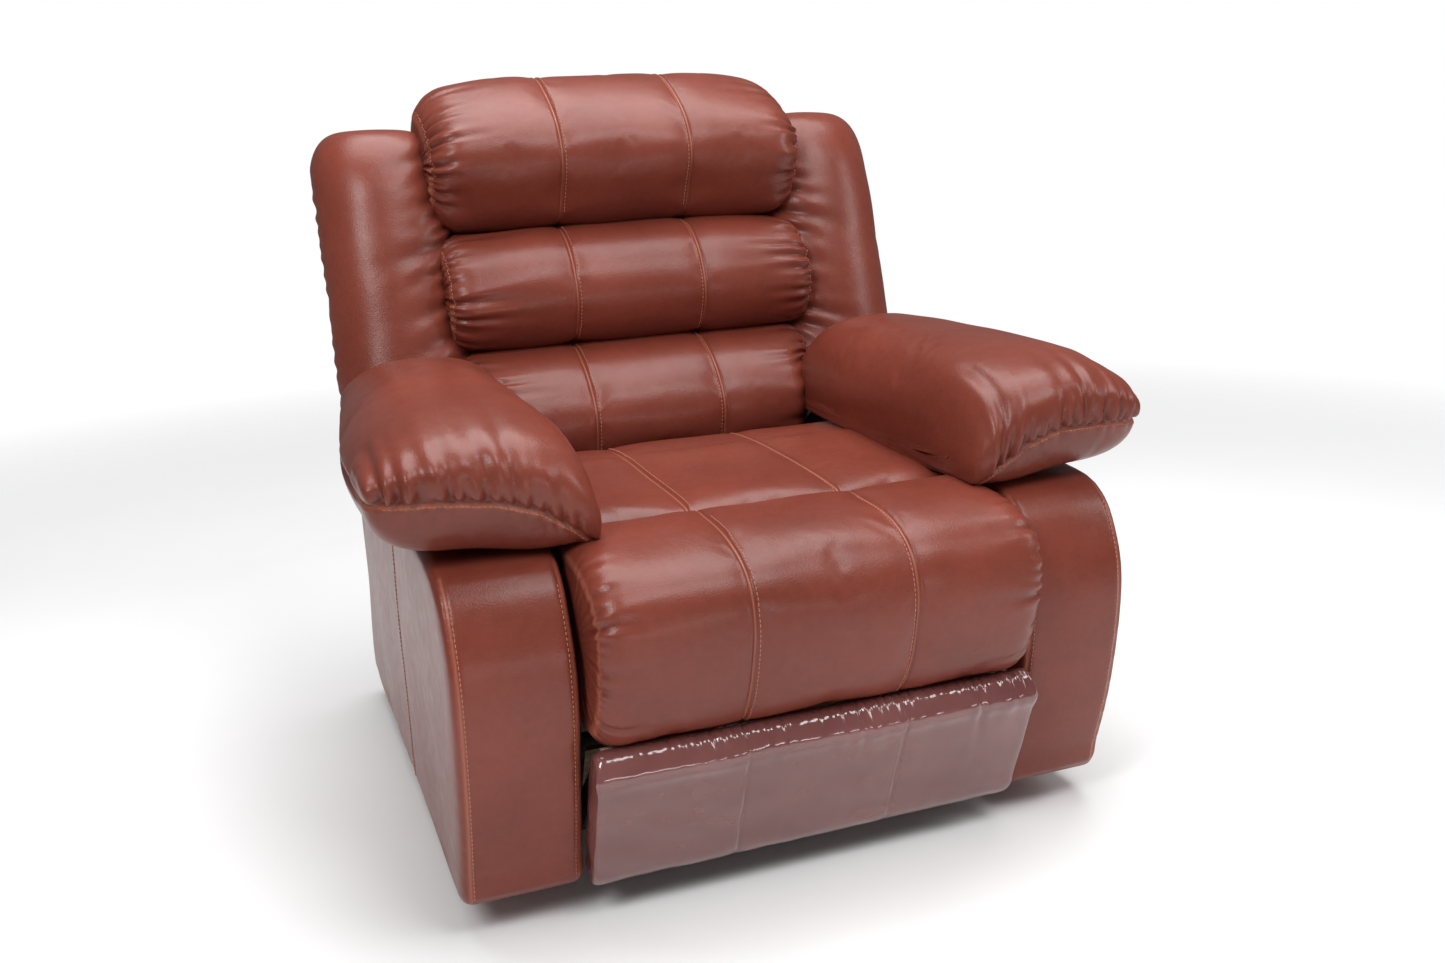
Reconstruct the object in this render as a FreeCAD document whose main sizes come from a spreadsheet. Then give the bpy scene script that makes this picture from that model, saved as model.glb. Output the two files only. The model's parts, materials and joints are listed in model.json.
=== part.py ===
"""Recliner armchair as a parametric assembly of separate pieces, in millimetres.

Frame: +X to the sitter's left hand seen from the front (the viewer's right), +Y to the back, +Z up.
Inside this file depths are counted from the front bottom edge of the arms, and every piece is then
moved forward by the cell "setback", so that the origin is under the middle of the whole chair.
"""
import FreeCAD, Part

import math
import os

doc = FreeCAD.newDocument("recliner_armchair")

# ---------------------------------------------------------------- driving dimensions
DIMENSIONS = {
    "setback": 356.01,           # from the arms' front bottom edge to the middle of the chair
    "gap": 0.5,                  # play between pieces of different bodies
    "arm_inner": 295.0,          # inner face of each arm
    "arm_outer": 446.0,          # outer face of each arm
    "arm_bottom": 42.0,          # underside of the arms, top of the feet
    "arm_top": 468.0,
    "arm_rear": 790.0,
    "cover_skin": 6.0,           # padded cover over the arm's frame
    "frame_ply": 15.0,           # plywood of the arm's frame
    "pad_inner": 250.0,          # arm pad, a pillow wider than the arm
    "pad_outer": 510.0,
    "pad_bottom": 478.0,
    "pad_top": 628.0,
    "pad_front": -18.0,
    "pad_rear": 590.0,
    "foot_radius": 22.0,
    "foot_inset": 120.0,
    "plate_thickness": 3.0,
    "link_thickness": 5.0,
    "link_width": 18.0,
    "link_length": 155.0,        # between the pivots of a footrest link
    "link_rest_angle": -65.0,    # direction of the links when closed, from +Y towards +Z
    "pin_radius": 5.0,
    "pin_play": 0.05,            # radial play of a pin in its hole
    "front_pivot_y": 45.0,
    "front_pivot_z": 207.0,
    "pivot_step_y": 38.0,        # from the front pivot to the rear pivot of the parallelogram
    "pivot_step_z": -26.0,
    "board_pivot_y": -20.0,
    "board_pivot_z": 205.0,
    "recline_pivot_y": 614.0,
    "recline_pivot_z": 360.0,
    "back_lean": 18.3,           # lean of the back from the vertical, in degrees
    "back_foot_y": 640.0,        # the back frame's front plane crosses this depth ...
    "back_foot_z": 490.0,        # ... at this level
    "back_depth": 32.0,          # depth of the back frame
    "pillow_half": 300.0,
    "wing_outer": 467.0,
    "seat_half": 290.0,
    "roll_half": 286.0,
    "footrest_half": 284.0,
    "panel_top_y": -90.0,        # footrest panel: front face's upper edge ...
    "panel_top_z": 230.0,
    "panel_length": 184.0,
    "panel_lean": 18.1,          # ... and its lean: the lower edge is further back
    "panel_board": 12.0,
    "panel_padding": 32.0,
    "film": 0.8,
    "track_level": 276.0,        # middle of the tracks that the seat slides on
    "track_height": 30.0,
    "track_front": 150.0,
    "track_length": 330.0,
    "seat_travel": 50.0,
    "handle_y": 300.0,           # release handle in the arm on the +X side
    "handle_z": 350.0,
}

dims = doc.addObject("Spreadsheet::Sheet", "dims")
for row, (alias, value) in enumerate(DIMENSIONS.items(), start=1):
    dims.set("A%d" % row, alias)
    dims.set("B%d" % row, str(value))
    dims.setAlias("B%d" % row, alias)
doc.recompute()


def size(alias):
    """The value of one cell of the sheet."""
    return float(getattr(dims, alias))


def bind(item, prop, formula):
    """Bind a property to a formula of the sheet's cells."""
    item.setExpression(prop, formula)


SIDES = (("left", -1), ("right", 1))
pieces = []


def keep(item, label):
    """Name a finished piece: its label is its file's name."""
    item.Label = label
    pieces.append(item)
    return item


# ---------------------------------------------------------------- outlines and features
def unit(vector):
    """A plane vector scaled to length one."""
    length = math.hypot(vector[0], vector[1])
    return (vector[0] / length, vector[1] / length)


def rounded_outline(corners):
    """Lines and arcs through corners (a, b, radius), each corner rounded by its radius."""
    starts, ends, mids = [], [], []
    count = len(corners)
    for i, (a, b, radius) in enumerate(corners):
        before = corners[i - 1]
        after = corners[(i + 1) % count]
        back = unit((before[0] - a, before[1] - b))
        ahead = unit((after[0] - a, after[1] - b))
        half = math.acos(max(-1.0, min(1.0, back[0] * ahead[0] + back[1] * ahead[1]))) / 2
        if radius <= 0 or abs(half - math.pi / 2) < 1e-4:
            starts.append((a, b))
            ends.append((a, b))
            mids.append(None)
            continue
        reach = radius / math.tan(half)
        bisector = unit((back[0] + ahead[0], back[1] + ahead[1]))
        centre = (a + bisector[0] * radius / math.sin(half), b + bisector[1] * radius / math.sin(half))
        starts.append((a + back[0] * reach, b + back[1] * reach))
        ends.append((a + ahead[0] * reach, b + ahead[1] * reach))
        mids.append((centre[0] - bisector[0] * radius, centre[1] - bisector[1] * radius))
    edges = []
    for i in range(count):
        vectors = [FreeCAD.Vector(p[0], p[1], 0) for p in (starts[i], ends[i])]
        if mids[i] is not None:
            middle = FreeCAD.Vector(mids[i][0], mids[i][1], 0)
            edges.append(Part.Arc(vectors[0], middle, vectors[1]))
        following = FreeCAD.Vector(starts[(i + 1) % count][0], starts[(i + 1) % count][1], 0)
        if vectors[1].distanceToPoint(following) > 1e-6:
            edges.append(Part.LineSegment(vectors[1], following))
    return edges


def rectangle(a_low, b_low, a_high, b_high, radius=0.0):
    """Corners of a rectangle, for rounded_outline."""
    places = ((a_low, b_low), (a_high, b_low), (a_high, b_high), (a_low, b_high))
    return [(a, b, radius) for a, b in places]


def capsule(start, end, radius):
    """Edges of a link's outline: two half circles joined by two lines."""
    along = unit((end[0] - start[0], end[1] - start[1]))
    aside = (-along[1], along[0])

    def at(point, forward, sideways):
        return FreeCAD.Vector(
            point[0] + along[0] * forward + aside[0] * sideways,
            point[1] + along[1] * forward + aside[1] * sideways,
            0,
        )

    return [
        Part.LineSegment(at(start, 0, radius), at(end, 0, radius)),
        Part.Arc(at(end, 0, radius), at(end, radius, 0), at(end, 0, -radius)),
        Part.LineSegment(at(end, 0, -radius), at(start, 0, -radius)),
        Part.Arc(at(start, 0, -radius), at(start, -radius, 0), at(start, 0, radius)),
    ]


def circle(a, b, radius):
    """A full circle in a sketch."""
    return Part.Circle(FreeCAD.Vector(a, b, 0), FreeCAD.Vector(0, 0, 1), radius)


def sketch_on(body, role, name, edges):
    """A sketch on one of a body's own origin planes."""
    sketch = body.newObject("Sketcher::SketchObject", name)
    plane = [feature for feature in body.Origin.OriginFeatures if feature.Role == role][0]
    sketch.AttachmentSupport = [(plane, "")]
    sketch.MapMode = "FlatFace"
    for edge in edges:
        sketch.addGeometry(edge, False)
    return sketch


def place(item, x_formula="0", y_formula="-dims.setback", z_formula="0"):
    """Bind a piece's position."""
    bind(item, "Placement.Base.x", x_formula)
    bind(item, "Placement.Base.y", y_formula)
    bind(item, "Placement.Base.z", z_formula)


def slab(label, edges, width, middle="0", cuts=(), kept=True):
    """A body padded both ways along X from an outline in Y and Z.

    width and middle are formulas. Each cut is (name, edges, width formula), cut both ways too.
    """
    body = doc.addObject("PartDesign::Body", label)
    pad = body.newObject("PartDesign::Pad", label + "_pad")
    pad.Profile = sketch_on(body, "YZ_Plane", label + "_outline", edges)
    pad.Midplane = True
    bind(pad, "Length", width)
    body.Tip = pad
    for name, cut_edges, cut_width in cuts:
        doc.recompute()
        volume = body.Shape.Volume
        pocket = body.newObject("PartDesign::Pocket", label + "_" + name)
        pocket.Profile = sketch_on(body, "YZ_Plane", label + "_" + name + "_outline", cut_edges)
        pocket.Midplane = True
        bind(pocket, "Length", cut_width)
        body.Tip = pocket
        doc.recompute()
        if body.Shape.Volume >= volume:
            raise RuntimeError("%s cut nothing in %s" % (name, label))
    place(body, middle)
    return keep(body, label) if kept else body


def block(name, x_formula, y_formula, z_formula, length, width, height):
    """A box from its low corner; every size is a formula."""
    box = doc.addObject("Part::Box", name)
    bind(box, "Length", length)
    bind(box, "Width", width)
    bind(box, "Height", height)
    place(box, x_formula, y_formula + " - dims.setback", z_formula)
    return box


def rod(name, x_formula, y_value, z_value, length, radius):
    """A cylinder along +X from x_formula."""
    cylinder = doc.addObject("Part::Cylinder", name)
    bind(cylinder, "Radius", radius)
    bind(cylinder, "Height", length)
    quarter_turn = FreeCAD.Rotation(FreeCAD.Vector(0, 1, 0), 90)
    cylinder.Placement = FreeCAD.Placement(FreeCAD.Vector(0, 0, z_value), quarter_turn)
    bind(cylinder, "Placement.Base.x", x_formula)
    bind(cylinder, "Placement.Base.y", "%.3f - dims.setback" % y_value)
    return cylinder


def group(label, items):
    """Identical separate solids in one node."""
    compound = doc.addObject("Part::Compound", label)
    compound.Links = items
    return keep(compound, label)


def minus(label, base, tool, kept=True):
    """One solid cut by another."""
    cut = doc.addObject("Part::Cut", label)
    cut.Base = base
    cut.Tool = tool
    return keep(cut, label) if kept else cut


def smooth_path(vectors):
    """Straight runs joined by tangent arcs, each as large as its two runs allow, and the arcs' radii."""
    edges, radii = [], []
    start = vectors[0]
    for before, corner, after in zip(vectors, vectors[1:], vectors[2:]):
        back = (before - corner).normalize()
        ahead = (after - corner).normalize()
        turn = math.pi - back.getAngle(ahead)
        reach = 0.45 * min(before.distanceToPoint(corner), after.distanceToPoint(corner))
        radius = reach / math.tan(turn / 2)
        bisector = (back + ahead).normalize()
        middle = corner + bisector * (radius / math.cos(turn / 2) - radius)
        first = corner + back * reach
        last = corner + ahead * reach
        edges.append(Part.LineSegment(start, first).toShape())
        edges.append(Part.Arc(first, middle, last).toShape())
        radii.append(radius)
        start = last
    edges.append(Part.LineSegment(start, vectors[-1]).toShape())
    return Part.Wire(edges), radii


def round_wire(name, points, radius):
    """A round wire or cable swept along a smooth path through points (x, y, z)."""
    path, radii = smooth_path([FreeCAD.Vector(x, y - size("setback"), z) for x, y, z in points])
    if min(radii) <= radius:
        raise RuntimeError("%s bends tighter than its own thickness" % name)
    begin = path.Edges[0]
    start = begin.valueAt(begin.FirstParameter)
    heading = begin.tangentAt(begin.FirstParameter)
    section = Part.Wire([Part.Circle(start, heading, radius).toShape()])
    wire = doc.addObject("Part::Feature", name)
    wire.Shape = path.makePipeShell([section], True, False)
    if abs(wire.Shape.Volume / (math.pi * radius ** 2 * path.Length) - 1) > 0.01:
        raise RuntimeError("the volume of %s is not its section times its length" % name)
    return wire


def turned(vector, degrees):
    """A plane vector turned from +Y towards +Z."""
    angle = math.radians(degrees)
    return (
        vector[0] * math.cos(angle) - vector[1] * math.sin(angle),
        vector[0] * math.sin(angle) + vector[1] * math.cos(angle),
    )


def moved(point, step):
    """A plane point plus a step."""
    return (point[0] + step[0], point[1] + step[1])


# ---------------------------------------------------------------- places shared by several pieces
FRONT_PIVOT = (size("front_pivot_y"), size("front_pivot_z"))
PIVOT_STEP = (size("pivot_step_y"), size("pivot_step_z"))
REAR_PIVOT = moved(FRONT_PIVOT, PIVOT_STEP)
LINK_STEP = turned((size("link_length"), 0), size("link_rest_angle"))
FRONT_END = moved(FRONT_PIVOT, LINK_STEP)
REAR_END = moved(REAR_PIVOT, LINK_STEP)
BOARD_PIVOT = (size("board_pivot_y"), size("board_pivot_z"))
RECLINE_PIVOT = (size("recline_pivot_y"), size("recline_pivot_z"))

# Layers along X on the +X side, from the arm inwards.
BASE_PLATE_MIDDLE = "(dims.arm_inner - dims.gap - dims.plate_thickness / 2)"
SEAT_PLATE_OUTER = 280.0
SEAT_PLATE_MIDDLE = "%.1f - dims.plate_thickness / 2" % SEAT_PLATE_OUTER
LINK_OUTER = 276.0
LINK_MIDDLE = "(%.1f - dims.link_thickness / 2)" % LINK_OUTER
COUPLER_OUTER = LINK_OUTER - 7.0
COUPLER_MIDDLE = "(%.1f - dims.link_thickness / 2)" % COUPLER_OUTER
BRACKET_OUTER = COUPLER_OUTER - 7.0
BRACKET_MIDDLE = "(%.1f - dims.link_thickness / 2)" % BRACKET_OUTER
HOLE = size("pin_radius") + size("pin_play")


def mirrored(side, formula):
    """A position's formula on the given side of the chair."""
    return formula if side > 0 else "-(" + formula + ")"


def back_plane(level, depth=0.0):
    """Depth of the back frame's front plane at a level, or of a plane parallel to it behind it."""
    lean = math.radians(size("back_lean"))
    return size("back_foot_y") + (level - size("back_foot_z")) * math.tan(lean) + depth / math.cos(lean)


def panel_point(down, behind):
    """A point of the footrest panel: distance down its front face, and distance behind that face."""
    lean = math.radians(size("panel_lean"))
    return (
        size("panel_top_y") + down * math.sin(lean) + behind * math.cos(lean),
        size("panel_top_z") - down * math.cos(lean) + behind * math.sin(lean),
    )


def panel_corners(down_low, down_high, behind_low, behind_high, front_radius=0.0, back_radius=0.0):
    """Corners of a rectangle in the footrest panel's own directions."""
    return [
        panel_point(down_low, behind_low) + (front_radius,),
        panel_point(down_high, behind_low) + (front_radius,),
        panel_point(down_high, behind_high) + (back_radius,),
        panel_point(down_low, behind_high) + (back_radius,),
    ]


# ---------------------------------------------------------------- arms
def arm_corners(inset, bottom):
    """Side outline of an arm, drawn in by inset, down to the level bottom."""
    top = size("arm_top") - inset
    rear = size("arm_rear") - inset
    return [
        (0 + inset, bottom, 0),
        (-40 + inset, 165, 150),
        (-66 + inset, 330, 90),
        (-38 + inset, 425 - inset / 2, 60),
        (34 + inset, top, 40),
        (600 - inset / 2, top, 30),
        (668 - inset / 2, 436 - inset, 40),
        (rear, 430 - inset, 30),
        (rear, bottom, 0),
    ]


WINDOW = rectangle(120, 130, 520, 400, 30)
HANDLE_HOLE = rectangle(
    size("handle_y") - 50, size("handle_z") - 26, size("handle_y") + 50, size("handle_z") + 26, 14
)
BOLT_PLACES = [(190, 130), (190, 240), (560, 130), (560, 240)]
CABLE_HOLE = (150, 232)


def side_bores(name, side, places, radius, depth):
    """Bores along X into the inner face of an arm."""
    start = "dims.arm_inner - 1" if side > 0 else "-dims.arm_inner - %.1f" % (depth - 1)
    bores = [
        rod("%s_%d" % (name, i), start, y, z, "%.1f" % depth, "%.2f" % radius)
        for i, (y, z) in enumerate(places)
    ]
    compound = doc.addObject("Part::Compound", name)
    compound.Links = bores
    return compound


for word, side in SIDES:
    middle = mirrored(side, "(dims.arm_inner + dims.arm_outer) / 2")
    cavity = rounded_outline(arm_corners(size("cover_skin"), size("arm_bottom") - 1))
    cover = slab(
        "arm_cover_body_" + word,
        rounded_outline(arm_corners(0, size("arm_bottom"))),
        "dims.arm_outer - dims.arm_inner",
        middle,
        cuts=[("cavity", cavity, "dims.arm_outer - dims.arm_inner - 2 * dims.cover_skin")],
        kept=False,
    )
    openings = side_bores("cover_bores_" + word, side, BOLT_PLACES, 4.5, 12)
    if side > 0:
        handle_slot = slab(
            "handle_slot", rounded_outline(HANDLE_HOLE), "40", "dims.arm_outer", kept=False
        )
        cable_bore = rod("cover_cable_bore", "dims.arm_inner - 1", CABLE_HOLE[0], CABLE_HOLE[1], "12", "4")
        openings.Links = openings.Links + [handle_slot, cable_bore]
    minus("arm_cover_" + word, cover, openings)

    clearance = size("cover_skin") + 1.0
    frame_width = "(dims.arm_outer - dims.arm_inner - 2 * dims.cover_skin - 2)"
    ring_inset = clearance + size("frame_ply")
    frame = slab(
        "arm_frame_body_" + word,
        rounded_outline(arm_corners(clearance, size("arm_bottom"))),
        frame_width,
        middle,
        cuts=[
            (
                "hollow",
                rounded_outline(arm_corners(ring_inset, size("arm_bottom") + 18)),
                frame_width + " - 2 * dims.frame_ply",
            ),
            ("window", rounded_outline(WINDOW), "200"),
        ],
        kept=False,
    )
    minus("arm_frame_" + word, frame, side_bores("frame_bores_" + word, side, BOLT_PLACES, 4.2, 26))


def arm_pad(word, side):
    """Pillow on an arm: wider than the arm, with a crowned top and a round front and back."""
    body = doc.addObject("PartDesign::Body", "arm_pad_" + word)
    half = (size("pad_outer") - size("pad_inner")) / 2
    bottom, top = size("pad_bottom"), size("pad_top")
    corners = [
        (-half + 16, bottom, 14),
        (half - 10, bottom, 14),
        (half, bottom + 78, 60),
        (half - 42, top - 14, 50),
        (0, top + 3, 260),
        (-half + 40, top - 10, 60),
        (-half, bottom + 62, 40),
    ]
    if side < 0:
        corners = [(-a, b, radius) for a, b, radius in reversed(corners)]
    pad = body.newObject("PartDesign::Pad", "arm_pad_length_" + word)
    pad.Profile = sketch_on(body, "XZ_Plane", "arm_pad_section_" + word, rounded_outline(corners))
    pad.Midplane = True
    bind(pad, "Length", "dims.pad_rear - dims.pad_front")
    body.Tip = pad
    doc.recompute()
    ends = [
        "Edge%d" % (i + 1)
        for i, edge in enumerate(pad.Shape.Edges)
        if edge.BoundBox.YLength < 0.01
    ]
    fillet = body.newObject("PartDesign::Fillet", "arm_pad_ends_" + word)
    fillet.Base = (pad, ends)
    fillet.Radius = 12.0
    body.Tip = fillet
    place(
        body,
        mirrored(side, "(dims.pad_inner + dims.pad_outer) / 2"),
        "(dims.pad_rear + dims.pad_front) / 2 - dims.setback",
    )
    return keep(body, "arm_pad_" + word)


for word, side in SIDES:
    arm_pad(word, side)

# ---------------------------------------------------------------- feet and rails of the base
feet = []
for word, side in SIDES:
    for end, depth in (("front", "dims.foot_inset"), ("rear", "dims.arm_rear - dims.foot_inset")):
        foot = doc.addObject("Part::Cone", "foot_%s_%s" % (end, word))
        bind(foot, "Radius1", "dims.foot_radius - 3")
        bind(foot, "Radius2", "dims.foot_radius")
        bind(foot, "Height", "dims.arm_bottom")
        place(foot, mirrored(side, "(dims.arm_inner + dims.arm_outer) / 2"), depth + " - dims.setback")
        feet.append(foot)
group("feet", feet)

RAIL_WIDTH = "2 * (dims.arm_inner - dims.gap - dims.plate_thickness) - 2"
RAIL_START = "-dims.arm_inner + dims.gap + dims.plate_thickness + 1"
RAIL_LEVEL, RAIL_THICKNESS, RAIL_HEIGHT = "50", "20", "60"
for end, depth in (("front", "205"), ("rear", "690")):
    rail = block(
        end + "_rail", RAIL_START, depth, RAIL_LEVEL, RAIL_WIDTH, RAIL_THICKNESS, RAIL_HEIGHT
    )
    keep(rail, end + "_rail")

# ---------------------------------------------------------------- base plates, tracks and bolts
PLATE_CORNERS = [
    (120, 50, 12), (600, 50, 12), (720, 50, 12), (720, 105, 12), (600, 150, 20), (600, 310, 20),
    (120, 310, 20),
]
for word, side in SIDES:
    holes = [circle(y, z, 4.2) for y, z in BOLT_PLACES]
    if side > 0:
        holes.append(circle(CABLE_HOLE[0], CABLE_HOLE[1], 4))
    slab(
        "base_plate_" + word,
        rounded_outline(PLATE_CORNERS) + holes,
        "dims.plate_thickness",
        mirrored(side, BASE_PLATE_MIDDLE),
    )

tracks = []
blocks = []
for word, side in SIDES:
    start = mirrored(side, "%.1f" % (SEAT_PLATE_OUTER + 3.2))
    if side < 0:
        start = start + " - 7.8"
    rail = block(
        "track_bar_" + word, start, "dims.track_front", "dims.track_level - dims.track_height / 2",
        "7.8", "dims.track_length", "dims.track_height",
    )
    groove_start = mirrored(side, "%.1f" % (SEAT_PLATE_OUTER + 3.0)) + ("" if side > 0 else " - 5.5")
    groove = block(
        "track_groove_" + word, groove_start, "dims.track_front - 1",
        "dims.track_level - dims.track_height / 2 + 6",
        "5.5", "dims.track_length + 2", "dims.track_height - 12",
    )
    tracks.append(minus("track_" + word, rail, groove, kept=False))
    for end, depth in (("front", "dims.track_front + dims.seat_travel + 20"),
                       ("rear", "dims.track_front + dims.track_length - 70")):
        block_start = mirrored(side, "%.1f" % (SEAT_PLATE_OUTER + 0.3)) + ("" if side > 0 else " - 7.4")
        blocks.append(block(
            "slide_block_%s_%s" % (end, word), block_start, depth,
            "dims.track_level - dims.track_height / 2 + 6.4",
            "7.4", "60", "dims.track_height - 12.8",
        ))
group("track_rails", tracks)
group("slide_blocks", blocks)

bolts = []
for word, side in SIDES:
    for i, (y, z) in enumerate(BOLT_PLACES):
        head_start = "dims.arm_inner - dims.gap - dims.plate_thickness - 4.2"
        shank_start = "dims.arm_inner - dims.gap - dims.plate_thickness - 0.4"
        if side < 0:
            head_start = "-(%s) - 4" % head_start
            shank_start = "-(%s) - 26" % shank_start
        head = rod("bolt_head_%s_%d" % (word, i), head_start, y, z, "4", "8")
        shank = rod("bolt_shank_%s_%d" % (word, i), shank_start, y, z, "26", "4")
        bolt = doc.addObject("Part::Fuse", "bolt_%s_%d" % (word, i))
        bolt.Base = head
        bolt.Tool = shank
        bolts.append(bolt)
group("base_bolts", bolts)

# ---------------------------------------------------------------- release handle, cable and trip lever
FLANGE = rectangle(
    size("handle_y") - 60, size("handle_z") - 36, size("handle_y") + 60, size("handle_z") + 36, 22
)
CUP = rectangle(
    size("handle_y") - 48, size("handle_z") - 24, size("handle_y") + 48, size("handle_z") + 24, 12
)
CUP_HOLLOW = rectangle(
    size("handle_y") - 45, size("handle_z") - 21, size("handle_y") + 45, size("handle_z") + 21, 8
)
CUP_DEPTH = 34.0
flange = slab("bezel_flange", rounded_outline(FLANGE), "3", "dims.arm_outer + 1.8", kept=False)
cup = slab(
    "bezel_cup", rounded_outline(CUP), "%.1f" % CUP_DEPTH,
    "dims.arm_outer + 3.3 - %.1f" % (CUP_DEPTH / 2), kept=False,
)
bezel_solid = doc.addObject("Part::Fuse", "bezel_solid")
bezel_solid.Base = flange
bezel_solid.Tool = cup
bezel_hollow = slab(
    "bezel_hollow", rounded_outline(CUP_HOLLOW), "%.1f" % CUP_DEPTH,
    "dims.arm_outer + 3.3 + 3 - %.1f" % (CUP_DEPTH / 2), kept=False,
)
minus("handle_bezel", bezel_solid, bezel_hollow)

HANDLE_PIVOT_X = size("arm_outer") - 6.0
HANDLE_PIVOT_Y = size("handle_y") + 36.0
HANDLE_HALF = 20.0


def pull_handle():
    """Lever that turns about an upright pin near the back of its cup."""
    body = doc.addObject("PartDesign::Body", "pull_handle")
    corners = [
        (-5, 7, 4), (5, 7, 4), (7, -54, 2), (2, -56, 2), (-1, -18, 6), (-5, -8, 4),
    ]
    outline = [(x + HANDLE_PIVOT_X, y + HANDLE_PIVOT_Y, radius) for x, y, radius in corners]
    edges = rounded_outline(outline) + [circle(HANDLE_PIVOT_X, HANDLE_PIVOT_Y, 2.05)]
    pad = body.newObject("PartDesign::Pad", "pull_handle_pad")
    pad.Profile = sketch_on(body, "XY_Plane", "pull_handle_outline", edges)
    pad.Midplane = True
    bind(pad, "Length", "%.1f" % (2 * HANDLE_HALF - 8))
    body.Tip = pad
    place(body, "0", "-dims.setback", "dims.handle_z")
    return keep(body, "pull_handle")


pull_handle()
handle_pin = doc.addObject("Part::Cylinder", "handle_pin")
handle_pin.Radius = 2.0
bind(handle_pin, "Height", "%.1f" % (2 * HANDLE_HALF + 1.6))
place(
    handle_pin, "%.2f" % HANDLE_PIVOT_X, "%.2f - dims.setback" % HANDLE_PIVOT_Y,
    "dims.handle_z - %.1f" % (HANDLE_HALF + 0.8),
)
keep(handle_pin, "handle_pin")

CABLE_RADIUS = 2.5
CABLE_ROUTE = [
    (size("arm_outer") - 31.0, size("handle_y"), size("handle_z")),
    (374.0, size("handle_y"), size("handle_z")),
    (356.0, 232.0, 300.0),
    (344.0, CABLE_HOLE[0], CABLE_HOLE[1]),
    (size("arm_inner") + 2, CABLE_HOLE[0], CABLE_HOLE[1]),
]
keep(round_wire("release_cable", CABLE_ROUTE, CABLE_RADIUS), "release_cable")

TRIP_PIVOT = (130.0, 190.0)
TRIP_TIP = (113.0, 128.0)
TRIP_TOP = (148.0, 222.0)
TRIP_MIDDLE = "dims.arm_inner - dims.gap - dims.plate_thickness - 3.5"
slab(
    "trip_lever",
    rounded_outline([
        (TRIP_TIP[0] - 6, TRIP_TIP[1] - 6, 5),
        (TRIP_TIP[0] + 6, TRIP_TIP[1] - 7, 5),
        (TRIP_PIVOT[0] + 10, TRIP_PIVOT[1] - 4, 12),
        (TRIP_TOP[0] + 8, TRIP_TOP[1], 5),
        (TRIP_TOP[0], TRIP_TOP[1] + 8, 5),
        (TRIP_PIVOT[0] - 10, TRIP_PIVOT[1] + 4, 12),
    ]) + [circle(TRIP_PIVOT[0], TRIP_PIVOT[1], 4.05)],
    "3", TRIP_MIDDLE,
)
keep(
    rod("trip_pin", "dims.arm_inner - dims.gap - dims.plate_thickness - 6", TRIP_PIVOT[0], TRIP_PIVOT[1],
        "6", "4"),
    "trip_pin",
)

# ---------------------------------------------------------------- seat carriage
SEAT_PLATE = [
    (28, 190, 14), (60, 178, 14), (96, 160, 14), (112, 190, 14), (110, 240, 14), (200, 258, 10),
    (560, 258, 10), (610, 300, 20), (646, 345, 20), (636, 386, 20), (600, 386, 16),
    (560, 372, 20), (92, 372, 10), (86, 236, 6), (30, 232, 12),
]
for word, side in SIDES:
    holes = [
        circle(FRONT_PIVOT[0], FRONT_PIVOT[1], HOLE),
        circle(REAR_PIVOT[0], REAR_PIVOT[1], HOLE),
        circle(RECLINE_PIVOT[0], RECLINE_PIVOT[1], 8.05),
    ]
    slab(
        "seat_plate_" + word, rounded_outline(SEAT_PLATE) + holes,
        "dims.plate_thickness", mirrored(side, SEAT_PLATE_MIDDLE),
    )
    x_low = "248" if side > 0 else "-276.4"
    keep(block("seat_rail_" + word, x_low, "84", "300", "28.4", "430", "70"), "seat_rail_" + word)

keep(block("seat_rail_front", "-286", "58", "250", "572", "20", "126"), "seat_rail_front")
keep(block("seat_rail_rear", "-247.6", "494", "300", "495.2", "20", "70"), "seat_rail_rear")


def sinuous_spring(name, x_middle):
    """Zigzag wire along Y between the front and rear seat rails."""
    wire_radius, pitch, swing, level = 1.9, 25.0, 22.0, 374.0
    first, last = 84.0, 506.0
    points = [(x_middle, first, level)]
    depth = first + pitch
    sign = 1
    while depth < last - pitch:
        points.append((x_middle + sign * swing, depth - pitch / 4, level))
        points.append((x_middle + sign * swing, depth + pitch / 4, level))
        sign = -sign
        depth += pitch
    points.append((x_middle, last, level))
    return round_wire(name, points, wire_radius)


SPRING_MIDDLES = [-190.0, -95.0, 0.0, 95.0, 190.0]
group("seat_springs", [sinuous_spring("seat_spring_%d" % i, x) for i, x in enumerate(SPRING_MIDDLES)])

SEAT_PROFILE = [
    (88, 379, 6), (496, 379, 6), (504, 400, 12), (504, 452, 30), (470, 468, 60), (290, 473, 900),
    (120, 471, 60), (88, 462, 20),
]
slab("seat_cushion", rounded_outline(SEAT_PROFILE), "2 * dims.seat_half")

ROLL_PROFILE = [
    (54, 246, 8), (-58, 240, 24), (-104, 276, 70), (-136, 392, 62), (-100, 464, 56), (-10, 475, 200),
    (80, 475, 14), (84, 400, 10), (80, 379, 3), (54, 379, 3),
]
slab("knee_roll", rounded_outline(ROLL_PROFILE), "2 * dims.roll_half")

recline_pins = []
for word, side in SIDES:
    start = "%.1f" % (SEAT_PLATE_OUTER - 12.4) if side > 0 else "-%.1f" % (SEAT_PLATE_OUTER + 1.6)
    recline_pins.append(rod("recline_pin_" + word, start, RECLINE_PIVOT[0], RECLINE_PIVOT[1], "14", "8"))
group("recline_pins", recline_pins)

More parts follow.
